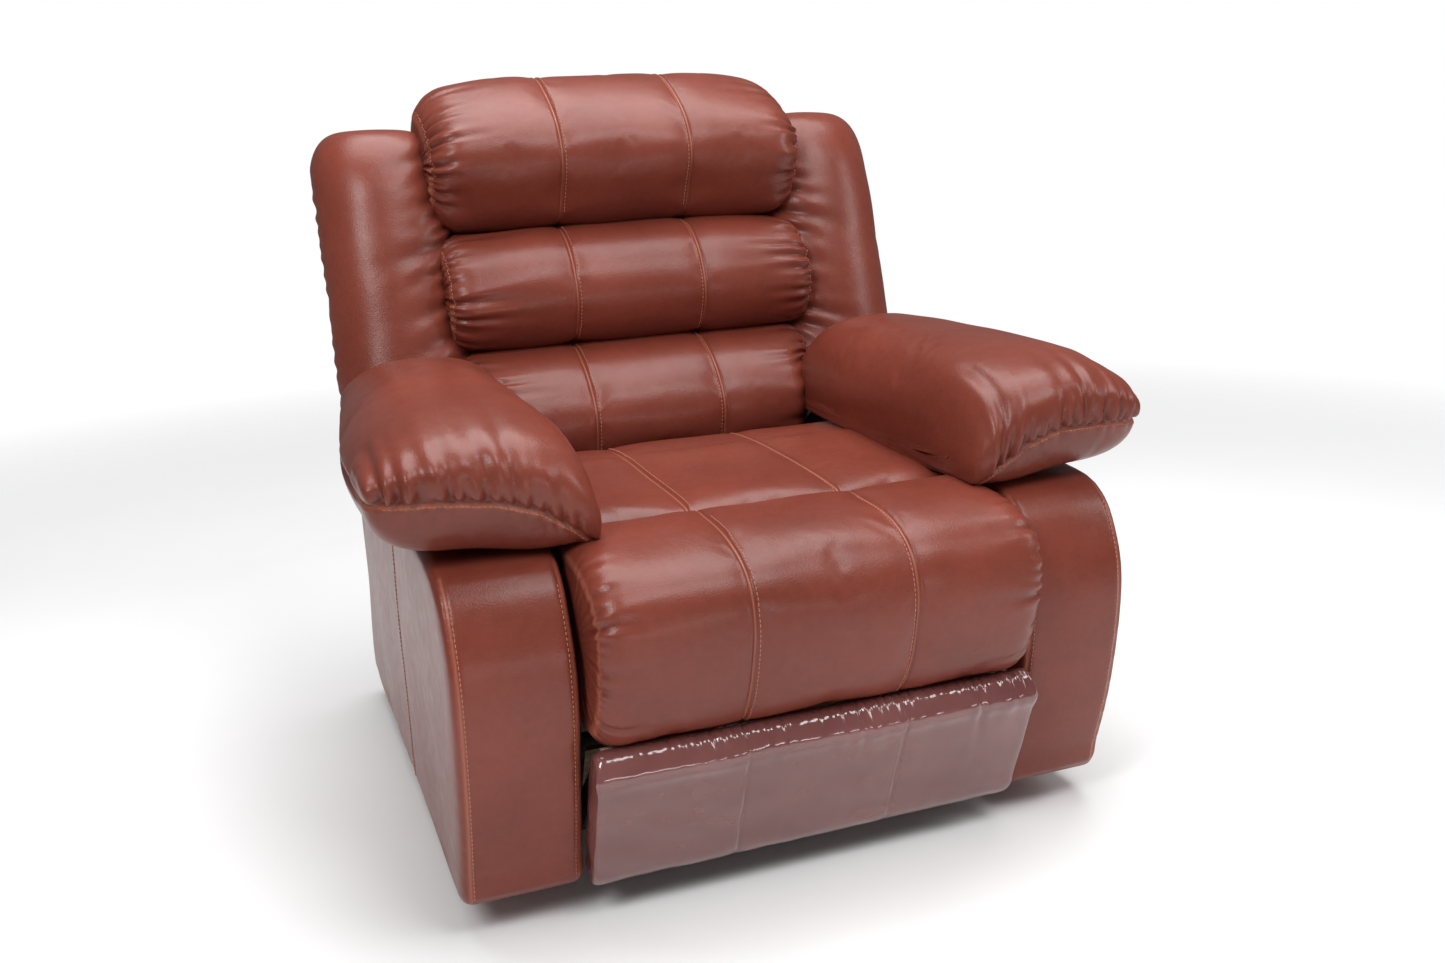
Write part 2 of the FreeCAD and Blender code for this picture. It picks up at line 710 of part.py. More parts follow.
# ---------------------------------------------------------------- footrest linkage
for word, side in SIDES:
    slab(
        "front_link_" + word,
        capsule(FRONT_PIVOT, FRONT_END, size("link_width") / 2)
        + [circle(FRONT_PIVOT[0], FRONT_PIVOT[1], HOLE), circle(FRONT_END[0], FRONT_END[1], HOLE)],
        "dims.link_thickness", mirrored(side, LINK_MIDDLE),
    )
    slab(
        "rear_link_" + word,
        capsule(REAR_PIVOT, REAR_END, size("link_width") / 2)
        + [circle(REAR_PIVOT[0], REAR_PIVOT[1], HOLE), circle(REAR_END[0], REAR_END[1], HOLE)],
        "dims.link_thickness", mirrored(side, LINK_MIDDLE),
    )
    slab(
        "coupler_link_" + word,
        rounded_outline([
            (REAR_END[0] + 16, REAR_END[1] - 8, 8),
            (REAR_END[0] + 6, REAR_END[1] + 16, 8),
            (FRONT_END[0] + 14, FRONT_END[1] + 12, 20),
            (BOARD_PIVOT[0] + 6, BOARD_PIVOT[1] + 14, 9),
            (BOARD_PIVOT[0] - 14, BOARD_PIVOT[1] + 2, 9),
            (FRONT_END[0] - 12, FRONT_END[1] - 14, 12),
            (REAR_END[0] - 2, REAR_END[1] - 15, 8),
        ])
        + [circle(point[0], point[1], HOLE) for point in (REAR_END, FRONT_END, BOARD_PIVOT)],
        "dims.link_thickness", mirrored(side, COUPLER_MIDDLE),
    )

STUD_REACH = 90.0
stud_place = moved(FRONT_PIVOT, turned((STUD_REACH, 0), size("link_rest_angle")))
keep(rod("kick_stud", "%.1f" % (LINK_OUTER + 0.2), stud_place[0], stud_place[1], "13.6", "4"), "kick_stud")

TUBE_HALF = LINK_OUTER - size("link_thickness") - 0.2
torque_rod = rod("torque_tube_outside", "-%.1f" % TUBE_HALF, FRONT_PIVOT[0], FRONT_PIVOT[1],
                 "%.1f" % (2 * TUBE_HALF), "9")
torque_bore = rod("torque_tube_bore", "-%.1f" % (TUBE_HALF + 1), FRONT_PIVOT[0], FRONT_PIVOT[1],
                  "%.1f" % (2 * TUBE_HALF + 2), "7")
minus("torque_tube", torque_rod, torque_bore)


def pivot_pins(label, points, outer, length):
    """The same pins on both sides: a group of separate solids."""
    pins = []
    for word, side in SIDES:
        for i, point in enumerate(points):
            start = "%.1f" % (outer - length) if side > 0 else "-%.1f" % outer
            pins.append(rod("%s_%s_%d" % (label, word, i), start, point[0], point[1], "%.1f" % length,
                            "dims.pin_radius"))
    return group(label, pins)


pivot_pins("seat_pivot_pins", [FRONT_PIVOT, REAR_PIVOT], SEAT_PLATE_OUTER + 0.5, 9.3)
pivot_pins("coupler_pins", [FRONT_END, REAR_END], LINK_OUTER + 0.4, 12.8)
pivot_pins("board_pins", [BOARD_PIVOT], COUPLER_OUTER + 0.5, 13.0)

# ---------------------------------------------------------------- footrest panel
padding = size("panel_padding")
board_back = padding + size("panel_board")
length = size("panel_length")
slab(
    "footrest_board",
    rounded_outline(panel_corners(8, length - 8, padding + 0.3, board_back)),
    "2 * dims.footrest_half - 20",
)
slab(
    "footrest_cushion",
    rounded_outline(panel_corners(0, length, 0, padding, 16, 4)),
    "2 * dims.footrest_half",
)
film = size("film")
film_outer = rounded_outline(panel_corners(-film, length + film, -film, padding - 4, 16 + film, 0))
film_inner = rounded_outline(panel_corners(-0.1, length + 0.1, -0.1, padding + 20, 16, 0))
slab(
    "protective_film", film_outer, "2 * dims.footrest_half + 0.4",
    cuts=[("inside", film_inner, "2 * dims.footrest_half + 10")],
)

brackets = []
for word, side in SIDES:
    upright = slab(
        "footrest_bracket_" + word,
        rounded_outline([
            (BOARD_PIVOT[0] + 9, BOARD_PIVOT[1] - 6, 6),
            (BOARD_PIVOT[0] + 3, BOARD_PIVOT[1] + 12, 7),
            panel_point(10, board_back + 0.3) + (0,),
            panel_point(100, board_back + 0.3) + (0,),
            panel_point(100, board_back + 10) + (3,),
        ]) + [circle(BOARD_PIVOT[0], BOARD_PIVOT[1], HOLE)],
        "dims.link_thickness", mirrored(side, BRACKET_MIDDLE), kept=False,
    )
    brackets.append(upright)
group("footrest_brackets", brackets)

# ---------------------------------------------------------------- back frame
def back_box(label, x_low, x_high, level_low, level_high, depth_low, depth_high):
    """A board parallel to the leaning back, given by levels and by depths behind its front plane."""
    corners = [
        (back_plane(level_low, depth_low), level_low, 0),
        (back_plane(level_low, depth_high), level_low, 0),
        (back_plane(level_high, depth_high), level_high, 0),
        (back_plane(level_high, depth_low), level_high, 0),
    ]
    return slab(label, rounded_outline(corners), "%.2f" % (x_high - x_low), "%.2f" % ((x_low + x_high) / 2))


depth = size("back_depth")
POST_INNER, POST_OUTER = 238.0, 267.0
for word, side in SIDES:
    low, high = sorted((side * POST_INNER, side * POST_OUTER))
    post_edges = rounded_outline([
        (back_plane(330, 1), 330, 0), (back_plane(330, depth), 330, 0),
        (back_plane(930, depth), 930, 0), (back_plane(930, 1), 930, 0),
    ]) + [circle(RECLINE_PIVOT[0], RECLINE_PIVOT[1], 9)]
    slab("back_post_" + word, post_edges, "%.1f" % (high - low), "%.1f" % ((low + high) / 2))
for name, low, high in (("low", 380, 430), ("middle", 600, 650), ("top", 880, 930)):
    back_box("back_rail_" + name, -POST_INNER + 0.4, POST_INNER - 0.4, low, high, 2, depth - 2)

back_brackets = []
for word, side in SIDES:
    middle = mirrored(side, "(%.2f + dims.plate_thickness / 2)" % (POST_OUTER + 0.4))
    bracket_edges = rounded_outline([
        (back_plane(335, 2), 338, 8), (back_plane(335, depth - 2), 338, 8),
        (back_plane(520, depth - 2), 520, 6), (back_plane(520, 2), 520, 6),
    ]) + [circle(RECLINE_PIVOT[0], RECLINE_PIVOT[1], 8.05)]
    back_brackets.append(slab("back_bracket_" + word, bracket_edges, "dims.plate_thickness", middle,
                              kept=False))
group("back_brackets", back_brackets)

straps = []
for i, level in enumerate((480, 540, 700, 770, 830)):
    strap = back_box("strap_%d" % i, -POST_INNER + 0.6, POST_INNER - 0.6, level, level + 40, 6, 8.5)
    pieces.remove(strap)
    straps.append(strap)
group("back_webbing", straps)

# ---------------------------------------------------------------- pillows, wings and back cover
LUMBAR_PROFILE = [
    (528, 432, 22), (500, 496, 60), (556, 588, 40), (600, 604, 20), (back_plane(604, -1), 604, 4),
    (back_plane(432, -1), 432, 4),
]
MIDDLE_PROFILE = [
    (610, 608, 18), (568, 682, 60), (604, 764, 50), (650, 782, 20), (back_plane(782, -1), 782, 4),
    (back_plane(608, -1), 608, 4),
]
HEADREST_PROFILE = [
    (666, 786, 18), (596, 870, 60), (640, 965, 80), (760, 1024, 70), (846, 990, 34), (842, 944, 8),
    (back_plane(936, -1), 936, 4), (back_plane(786, -1), 786, 4),
]
slab("lumbar_pillow", rounded_outline(LUMBAR_PROFILE), "2 * dims.pad_inner - 8")
slab("middle_pillow", rounded_outline(MIDDLE_PROFILE), "2 * dims.pillow_half")
slab("headrest_pillow", rounded_outline(HEADREST_PROFILE), "2 * dims.pillow_half + 14")

COVER_FRONT = depth + 1.0
COVER_BACK = depth + 13.0
WING_PROFILE = [
    (596, 560, 24), (602, 642, 120), (673, 858, 60), (726, 940, 50), (818, 936, 40),
    (back_plane(880, COVER_BACK), 880, 20), (back_plane(580, COVER_BACK), 556, 30),
]
for word, side in SIDES:
    inner = "(dims.pillow_half + 8)"
    slab(
        "wing_" + word, rounded_outline(WING_PROFILE), "dims.wing_outer - " + inner,
        mirrored(side, "(dims.wing_outer + " + inner + ") / 2"),
    )

BACK_SKIRT = 712.0
COVER_PROFILE = [
    (BACK_SKIRT - 12, 150, 0), (BACK_SKIRT, 150, 4), (BACK_SKIRT, 558, 60),
    (back_plane(940, COVER_BACK), 940, 4), (back_plane(940, COVER_FRONT), 940, 0),
    (BACK_SKIRT - 12, 562, 50),
]
slab("back_cover", rounded_outline(COVER_PROFILE), "2 * dims.seat_half - 12")

# ---------------------------------------------------------------- check and write
doc.recompute()
os.makedirs("parts", exist_ok=True)
for item in doc.Objects:
    if "Invalid" in item.State or "Error" in item.State:
        raise RuntimeError("%s failed: %s" % (item.Label, item.State))
for piece in pieces:
    if piece.Shape.isNull() or not piece.Shape.isValid():
        raise RuntimeError("%s has no valid shape" % piece.Label)
box = FreeCAD.BoundBox()
for piece in pieces:
    piece.Shape.exportStep("parts/%s.step" % piece.Label)
    box.add(piece.Shape.optimalBoundingBox(False))
print(len(pieces), "pieces; low %.2f %.2f %.2f high %.2f %.2f %.2f" % (
    box.XMin, box.YMin, box.ZMin, box.XMax, box.YMax, box.ZMax))
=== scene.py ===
import json
import math

import bmesh
import bpy
import numpy as np
from mathutils import Matrix, Vector
from mathutils.bvhtree import BVHTree


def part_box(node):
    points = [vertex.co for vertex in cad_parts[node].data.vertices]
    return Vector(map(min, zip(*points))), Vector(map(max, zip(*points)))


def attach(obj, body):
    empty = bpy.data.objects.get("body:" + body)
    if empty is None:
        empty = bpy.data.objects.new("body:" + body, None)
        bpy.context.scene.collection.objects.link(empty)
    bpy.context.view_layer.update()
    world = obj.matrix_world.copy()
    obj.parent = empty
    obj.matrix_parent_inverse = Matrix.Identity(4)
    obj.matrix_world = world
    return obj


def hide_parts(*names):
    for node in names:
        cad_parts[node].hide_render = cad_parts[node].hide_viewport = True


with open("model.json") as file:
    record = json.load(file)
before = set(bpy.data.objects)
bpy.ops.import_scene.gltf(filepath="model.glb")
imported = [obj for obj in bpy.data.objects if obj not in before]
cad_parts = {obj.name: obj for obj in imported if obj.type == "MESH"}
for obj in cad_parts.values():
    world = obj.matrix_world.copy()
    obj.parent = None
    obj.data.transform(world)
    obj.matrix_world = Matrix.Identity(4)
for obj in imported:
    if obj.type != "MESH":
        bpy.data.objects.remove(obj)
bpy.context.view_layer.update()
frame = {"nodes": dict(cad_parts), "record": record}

MM = 0.001
SIDES = (("left", -1.0), ("right", 1.0))
BACK_LEAN = math.radians(18.3)
PANEL_LEAN = math.radians(18.1)


# ---------------------------------------------------------------- numbers and curves
def low_high(node):
    """A CAD node's box as two arrays."""
    low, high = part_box(node)
    return np.array(low), np.array(high)


def inner_outer(node, side):
    """A paired node's inner and outer faces, as distances from the middle of the chair."""
    low, high = low_high(node)
    return (low[0], high[0]) if side > 0 else (-high[0], -low[0])


def from_corner(node, points):
    """Depth and height of points given in millimetres from the low corner of a node's box."""
    low, _ = low_high(node)
    return np.array([(low[1] + a * MM, low[2] + b * MM) for a, b in points])


def closed_curve(points, count, tension=0.5):
    """A closed smooth curve through points, sampled evenly by length."""
    points = np.asarray(points, float)
    fine = []
    n = len(points)
    steps = np.linspace(0, 1, 24, endpoint=False)
    for i in range(n):
        p0, p1, p2, p3 = (points[(i + k - 1) % n] for k in range(4))
        m1 = (p2 - p0) * tension
        m2 = (p3 - p1) * tension
        reach = np.linalg.norm(p2 - p1)
        m1 *= min(1.0, 1.2 * reach / max(np.linalg.norm(m1), 1e-9))
        m2 *= min(1.0, 1.2 * reach / max(np.linalg.norm(m2), 1e-9))
        for t in steps:
            h = (2 * t ** 3 - 3 * t ** 2 + 1, t ** 3 - 2 * t ** 2 + t,
                 -2 * t ** 3 + 3 * t ** 2, t ** 3 - t ** 2)
            fine.append(h[0] * p1 + h[1] * m1 + h[2] * p2 + h[3] * m2)
    fine = np.array(fine + [fine[0]])
    length = np.concatenate([[0], np.cumsum(np.linalg.norm(np.diff(fine, axis=0), axis=1))])
    wanted = np.linspace(0, length[-1], count, endpoint=False)
    return np.stack([np.interp(wanted, length, fine[:, k]) for k in range(points.shape[1])], axis=1)


def smooth_step(value, low, high):
    """0 below low, 1 above high, smooth between."""
    t = np.clip((value - low) / (high - low), 0.0, 1.0)
    return t * t * (3 - 2 * t)


def bell(distance, width):
    """A bump of height 1 and the given half width."""
    return np.exp(-(distance / width) ** 2)


def ripples(points, seed, scale, waves=7):
    """Gentle uneven relief over space, about -1 to 1."""
    rng = np.random.default_rng(seed)
    total = np.zeros(len(points))
    for _ in range(waves):
        direction = rng.normal(size=3)
        direction *= rng.uniform(0.6, 1.5) / (np.linalg.norm(direction) * scale)
        total += np.sin(2 * math.pi * points @ direction + rng.uniform(0, 2 * math.pi))
    return total / math.sqrt(waves)


# ---------------------------------------------------------------- meshes
BESIDE_SEAM = (0.0, 1.0, 2.2, 3.6, 5.5, 8.0, 12.0)


def stations(low, high, step, seams=()):
    """Places between low and high, with extra ones BESIDE_SEAM millimetres from each seam."""
    places = list(np.linspace(low, high, max(2, int(round((high - low) / step)) + 1)))
    for seam in seams:
        places = [p for p in places if abs(p - seam) > (BESIDE_SEAM[-1] + 2.0) * MM]
        places += [seam + sign * offset * MM for offset in BESIDE_SEAM for sign in (-1, 1)]
    return sorted(set(np.round(places, 6)))


def new_piece(name, verts, faces):
    """An object with a mesh of its own, in the scene."""
    mesh = bpy.data.meshes.new(name)
    mesh.from_pydata(verts, [], faces)
    piece = bpy.data.objects.new(name, mesh)
    bpy.context.scene.collection.objects.link(piece)
    return piece


def ring_distances(rings):
    """Distance of each point from the first one, round the longest ring."""
    step = np.linalg.norm(np.roll(rings, -1, axis=1) - rings, axis=2)
    longest = rings[np.argmax(step.sum(axis=1))]
    lengths = np.linalg.norm(np.roll(longest, -1, axis=0) - longest, axis=1)
    return np.concatenate([[0], np.cumsum(lengths)[:-1]])


def tube_faces(count, size):
    """Quads between count rings of size points, and a fan to the one point beyond each end."""
    faces = []
    for i in range(count - 1):
        a, b = i * size, (i + 1) * size
        for j in range(size):
            k = (j + 1) % size
            faces.append((a + j, a + k, b + k, b + j))
    first, last = count * size, count * size + 1
    for j in range(size):
        k = (j + 1) % size
        faces.append((first, k, j))
        faces.append((last, (count - 1) * size + j, (count - 1) * size + k))
    return faces


def loft(name, rings, along, rim=None):
    """A closed mesh through rings of points, with a point at each end.

    The vertices keep along, around and rim: place along the loft, distance round the ring, and
    distance from the nearest end.
    """
    rings = np.asarray(rings, float)
    count, size = rings.shape[:2]
    verts = np.concatenate([rings.reshape(-1, 3), [rings[0].mean(axis=0)], [rings[-1].mean(axis=0)]])
    piece = new_piece(name, verts.tolist(), tube_faces(count, size))
    piece.data.validate()
    along = np.asarray(along, float)
    set_values(piece, "along", np.concatenate([np.repeat(along, size), [along[0], along[-1]]]))
    set_values(piece, "around", np.concatenate([np.tile(ring_distances(rings), count), [0.0, 0.0]]))
    if rim is not None:
        set_values(piece, "rim", np.concatenate([np.repeat(rim, size), [rim[0], rim[-1]]]))
    shape = bmesh.new()
    shape.from_mesh(piece.data)
    bmesh.ops.recalc_face_normals(shape, faces=shape.faces)
    shape.to_mesh(piece.data)
    shape.free()
    return piece


def set_values(piece, key, value):
    """Store one number per vertex."""
    mesh = piece.data
    item = mesh.attributes.get(key) or mesh.attributes.new(key, "FLOAT", "POINT")
    item.data.foreach_set("value", np.asarray(value, np.float32))


def read_out(items, key, count):
    """All values of one property of a mesh's items, in one array."""
    out = np.empty(count)
    items.foreach_get(key, out)
    return out


def get_values(piece, key):
    """Read one number per vertex."""
    return read_out(piece.data.attributes[key].data, "value", len(piece.data.vertices))


def points_of(piece):
    """Vertex places."""
    return read_out(piece.data.vertices, "co", 3 * len(piece.data.vertices)).reshape(-1, 3)


def normals_of(piece):
    """Vertex normals."""
    return read_out(piece.data.vertex_normals, "vector", 3 * len(piece.data.vertices)).reshape(-1, 3)


def move_points(piece, places):
    """Write vertex places back."""
    piece.data.vertices.foreach_set("co", places.ravel())
    piece.data.update()


def apply_modifiers(piece):
    """Turn what the modifiers make into the piece's own mesh."""
    graph = bpy.context.evaluated_depsgraph_get()
    made = bpy.data.meshes.new_from_object(piece.evaluated_get(graph), preserve_all_data_layers=True,
                                           depsgraph=graph)
    piece.modifiers.clear()
    piece.data = made


def subdivide(piece):
    """One round of smooth subdivision."""
    modifier = piece.modifiers.new("finer", "SUBSURF")
    modifier.levels = 1
    modifier.render_levels = 1
    apply_modifiers(piece)


# ---------------------------------------------------------------- cloth
SIM_FRAMES = 20
jobs = []


def add_cloth(piece, cap, pressure, pins, growth):
    """Cloth on a closed cover: pressure from inside, held where pins is 1.

    cap is about the most that a point may move, and growth the share by which the cloth is cut
    larger. The piece joins the jobs, which simulate() runs together.
    """
    group = piece.vertex_groups.new(name="held")
    for index in np.nonzero(pins > 0.02)[0]:
        group.add([int(index)], float(min(1.0, pins[index])), "REPLACE")
    cloth = piece.modifiers.new("cover", "CLOTH")
    settings = cloth.settings
    settings.quality = 5
    settings.mass = 0.4
    settings.tension_stiffness = 12
    settings.compression_stiffness = 12
    settings.shear_stiffness = 6
    settings.bending_stiffness = 0.6
    settings.tension_damping = 12
    settings.compression_damping = 12
    settings.air_damping = 4
    settings.vertex_group_mass = "held"
    settings.shrink_min = -growth
    settings.use_pressure = True
    settings.uniform_pressure_force = pressure
    settings.effector_weights.gravity = 0.0
    cloth.collision_settings.use_collision = False
    cloth.collision_settings.use_self_collision = False
    cloth.point_cache.frame_start = 1
    cloth.point_cache.frame_end = SIM_FRAMES
    jobs.append((piece, cap))


def simulate():
    """Run the cloth of all the jobs together, and keep the result in their meshes."""
    scene = bpy.context.scene
    for step in range(1, SIM_FRAMES + 1):
        scene.frame_set(step)
    graph = bpy.context.evaluated_depsgraph_get()
    for piece, cap in jobs:
        start = points_of(piece)
        shift = points_of(piece.evaluated_get(graph)) - start
        length = np.linalg.norm(shift, axis=1, keepdims=True)
        limited = cap * np.tanh(length / cap)
        places = start + shift * limited / np.maximum(length, 1e-9)
        piece.modifiers.clear()
        move_points(piece, places)
    scene.frame_set(1)


# ---------------------------------------------------------------- relief: seams and gathers
def seam_relief(distance, depth=2.6 * MM, width=2.4 * MM, pull=2.2 * MM, reach=20 * MM):
    """Sewn seam across a surface: a narrow groove in a wide shallow dip."""
    return -depth * bell(distance, width) - pull * bell(distance, reach)


def gathers(place, distance, spots, slope=0.0):
    """Pleats that start at a seam: spots are (place, width, length, depth)."""
    total = np.zeros(len(place))
    for spot, width, length, depth in spots:
        aside = place - spot - slope * distance
        spread = width * (1.0 + 0.8 * np.clip(distance / length, 0, 2))
        fade = np.exp(-(np.clip(distance, 0, None) / length) ** 1.5)
        total -= depth * bell(aside, spread) * fade
        total += 0.45 * depth * bell(np.abs(aside) - 1.9 * spread, spread) * fade
    return total


def gather_spots(seed, low, high, count, width, length, depth):
    """Unevenly spaced pleats between two places."""
    rng = np.random.default_rng(seed)
    edges = np.linspace(low, high, count + 1)
    spots = []
    for a, b in zip(edges, edges[1:]):
        middle = (a + b) / 2 + rng.uniform(-0.3, 0.3) * (b - a)
        scale = rng.uniform(0.5, 1.25)
        spots.append((middle, width * rng.uniform(0.75, 1.3), length * rng.uniform(0.5, 1.3) * scale,
                      depth * scale))
    return spots


def carve(piece, relief, edge=None, painted_crease_shade=None):
    """Move points along their normals, and store where seams are painted paler (partly rubbed leather, partly
    painted highlight) and where creases get painted shade.
    """
    places = points_of(piece) + normals_of(piece) * np.asarray(relief)[:, None]
    move_points(piece, places)
    zero = np.zeros(len(places))
    set_values(piece, "edge", zero if edge is None else np.clip(edge, 0, 1))
    set_values(piece, "painted_crease_shade", zero if painted_crease_shade is None else np.clip(painted_crease_shade, 0, 1))


# ---------------------------------------------------------------- materials
class Nodes:
    """Short names for making a node material."""

    def __init__(self, name):
        self.material = bpy.data.materials.new(name)
        self.material.use_nodes = True
        self.tree = self.material.node_tree
        self.shader = self.tree.nodes["Principled BSDF"]
        self.coordinates = self.add("ShaderNodeTexCoord").outputs["Object"]

    def add(self, kind, **inputs):
        node = self.tree.nodes.new(kind)
        for key, value in inputs.items():
            node.inputs[key.replace("_", " ")].default_value = value
        return node

    def link(self, output, target):
        self.tree.links.new(output, target)

    def noise(self, scale, detail=3.0, roughness=0.5, stretch=None):
        node = self.add("ShaderNodeTexNoise", Scale=scale, Detail=detail, Roughness=roughness)
        source = self.coordinates
        if stretch is not None:
            mapping = self.add("ShaderNodeMapping", Scale=stretch)
            self.link(source, mapping.inputs["Vector"])
            source = mapping.outputs["Vector"]
        self.link(source, node.inputs["Vector"])
        return node.outputs["Fac"]

    def attribute(self, name):
        node = self.add("ShaderNodeAttribute")
        node.attribute_name = name
        return node.outputs["Fac"]

    def ramp(self, value, low, high, to_low, to_high):
        node = self.add("ShaderNodeMapRange", From_Min=low, From_Max=high, To_Min=to_low, To_Max=to_high)
        self.link(value, node.inputs["Value"])
        return node.outputs["Result"]

    def math(self, operation, first, second):
        node = self.add("ShaderNodeMath")
        node.operation = operation
        self.link(first, node.inputs[0])
        if isinstance(second, float):
            node.inputs[1].default_value = second
        else:
            self.link(second, node.inputs[1])
        return node.outputs[0]

    def mix(self, factor, first, second):
        node = self.tree.nodes.new("ShaderNodeMix")
        node.data_type = "RGBA"
        self.link(factor, node.inputs["Factor"])
        for key, value in (("A", first), ("B", second)):
            socket = [s for s in node.inputs if s.name == key and s.type == "RGBA"][0]
            if isinstance(value, tuple):
                socket.default_value = value + (1.0,)
            else:
                self.link(value, socket)
        return [s for s in node.outputs if s.type == "RGBA"][0]

    def bump(self, height, distance, strength=1.0, normal=None):
        node = self.add("ShaderNodeBump", Strength=strength, Distance=distance)
        self.link(height, node.inputs["Height"])
        if normal is not None:
            self.link(normal, node.inputs["Normal"])
        return node.outputs["Normal"]

    def finish(self, color=None, roughness=None, normal=None, **values):
        for key, output in (("Base Color", color), ("Roughness", roughness), ("Normal", normal)):
            if output is not None:
                self.link(output, self.shader.inputs[key])
        for key, value in values.items():
            self.shader.inputs[key.replace("_", " ")].default_value = value
        return self.material


LEATHER_DEEP = (0.130, 0.0262, 0.0160)
LEATHER_WARM = (0.205, 0.0440, 0.0270)
# Paler seam colour: partly rubbed leather, partly painted highlight.
LEATHER_SEAM_RUB_AND_HIGHLIGHT = (0.50, 0.165, 0.10)
# Painted shade colour for creases, pleat valleys and seam grooves.
LEATHER_CREASE_SHADE = (0.035, 0.007, 0.005)


def leather_material():
    """Coated leather: fine pebble grain, soft colour drift, seams painted paler (partly rubbed leather,
    partly painted highlight) and painted shade in creases.
    """
    n = Nodes("leather")
    drift = n.ramp(n.noise(5.0, 4.0, 0.6), 0.3, 0.7, 0.0, 1.0)
    mottle = n.ramp(n.noise(90.0, 3.0, 0.6), 0.25, 0.75, 0.0, 1.0)
    tone = n.math("ADD", n.math("MULTIPLY", drift, 0.7), n.math("MULTIPLY", mottle, 0.3))
    color = n.mix(tone, LEATHER_DEEP, LEATHER_WARM)
    # Painted shade: the colour darkens in creases, pleat valleys and beside seams.
    color = n.mix(n.math("MULTIPLY", n.attribute("painted_crease_shade"), 0.42), color, LEATHER_CREASE_SHADE)
    # Seams painted paler: partly rubbed leather, partly painted highlight on the seam lips.
    color = n.mix(n.math("MULTIPLY", n.attribute("edge"), 0.6), color, LEATHER_SEAM_RUB_AND_HIGHLIGHT)
    grain = n.add("ShaderNodeTexVoronoi", Scale=620.0)
    grain.feature = "SMOOTH_F1"
    n.link(n.coordinates, grain.inputs["Vector"])
    normal = n.bump(n.noise(60.0, 3.0, 0.6), 0.0012, 0.25)
    normal = n.bump(grain.outputs["Distance"], 0.0006, 0.32, normal)
    roughness = n.ramp(n.noise(38.0, 5.0, 0.65), 0.25, 0.75, 0.27, 0.38)
    return n.finish(color, roughness, normal, IOR=1.47, Coat_Weight=0.05, Coat_Roughness=0.22,
                    Specular_IOR_Level=0.34)


def thread_material():
    """Bonded sewing thread."""
    n = Nodes("thread")
    twist = n.noise(900.0, 2.0, 0.5)
    color = n.mix(n.ramp(twist, 0.3, 0.7, 0.0, 1.0), (0.36, 0.115, 0.07), (0.52, 0.20, 0.13))
    return n.finish(color, None, n.bump(twist, 0.0004, 0.5), Roughness=0.55)


def film_material():
    """Clear protective film, slightly milky, with its own small wrinkles."""
    n = Nodes("film")
    haze = n.ramp(n.noise(7.0, 3.0, 0.6, (1.0, 1.0, 2.0)), 0.3, 0.7, 0.0, 1.0)
    color = n.mix(haze, (0.148, 0.046, 0.042), (0.215, 0.078, 0.073))
    normal = n.bump(n.noise(30.0, 4.0, 0.55, (1.0, 1.0, 0.35)), 0.002, 0.35)
    material = n.finish(color, n.ramp(haze, 0.0, 1.0, 0.10, 0.22), normal, IOR=1.5, Coat_Weight=1.0,
                        Coat_Roughness=0.03, Alpha=0.86)
    material.surface_render_method = "BLENDED"
    return material


def wood_material():
    """Plain unfinished softwood and plywood."""
    n = Nodes("wood")
    rings = n.noise(14.0, 5.0, 0.62, (1.0, 6.0, 14.0))
    color = n.mix(n.ramp(rings, 0.32, 0.68, 0.0, 1.0), (0.36, 0.22, 0.115), (0.62, 0.45, 0.27))
    return n.finish(color, n.ramp(rings, 0.3, 0.7, 0.55, 0.75), n.bump(rings, 0.0012, 0.4))


def steel_material(name, color_low, color_high, roughness, metallic):
    """Painted or plated steel with slight unevenness."""
    n = Nodes(name)
    spots = n.noise(160.0, 4.0, 0.6)
    color = n.mix(n.ramp(spots, 0.3, 0.7, 0.0, 1.0), color_low, color_high)
    return n.finish(color, n.ramp(n.noise(24.0, 4.0, 0.6), 0.3, 0.7, roughness - 0.08, roughness + 0.1),
                    n.bump(spots, 0.0004, 0.25), Metallic=metallic)


def plastic_material(name, color_low, color_high, roughness):
    """Moulded plastic with a fine spark-eroded texture."""
    n = Nodes(name)
    texture = n.noise(700.0, 2.0, 0.5)
    color = n.mix(n.ramp(n.noise(20.0), 0.3, 0.7, 0.0, 1.0), color_low, color_high)
    return n.finish(color, n.ramp(texture, 0.3, 0.7, roughness - 0.06, roughness + 0.08),
                    n.bump(texture, 0.0003, 0.35))


def webbing_material():
    """Woven elastic."""
    n = Nodes("webbing")
    weave = n.add("ShaderNodeTexWave", Scale=260.0, Distortion=0.6)
    n.link(n.coordinates, weave.inputs["Vector"])
    color = n.mix(weave.outputs["Fac"], (0.02, 0.02, 0.022), (0.16, 0.15, 0.14))
    return n.finish(color, None, n.bump(weave.outputs["Fac"], 0.0006, 0.6), Roughness=0.85)


THREAD = thread_material()
BY_SLOT = {
    "leather": leather_material(),
    "film": film_material(),
    "wood": wood_material(),
    "black_steel": steel_material("black_steel", (0.022, 0.022, 0.024), (0.05, 0.05, 0.052), 0.42, 0.0),
    "bright_steel": steel_material("bright_steel", (0.42, 0.42, 0.43), (0.62, 0.62, 0.63), 0.32, 1.0),
    "black_plastic": plastic_material("black_plastic", (0.014, 0.014, 0.015), (0.03, 0.03, 0.032), 0.45),
    "nylon": plastic_material("nylon", (0.70, 0.69, 0.65), (0.82, 0.81, 0.77), 0.5),
    "webbing": webbing_material(),
}


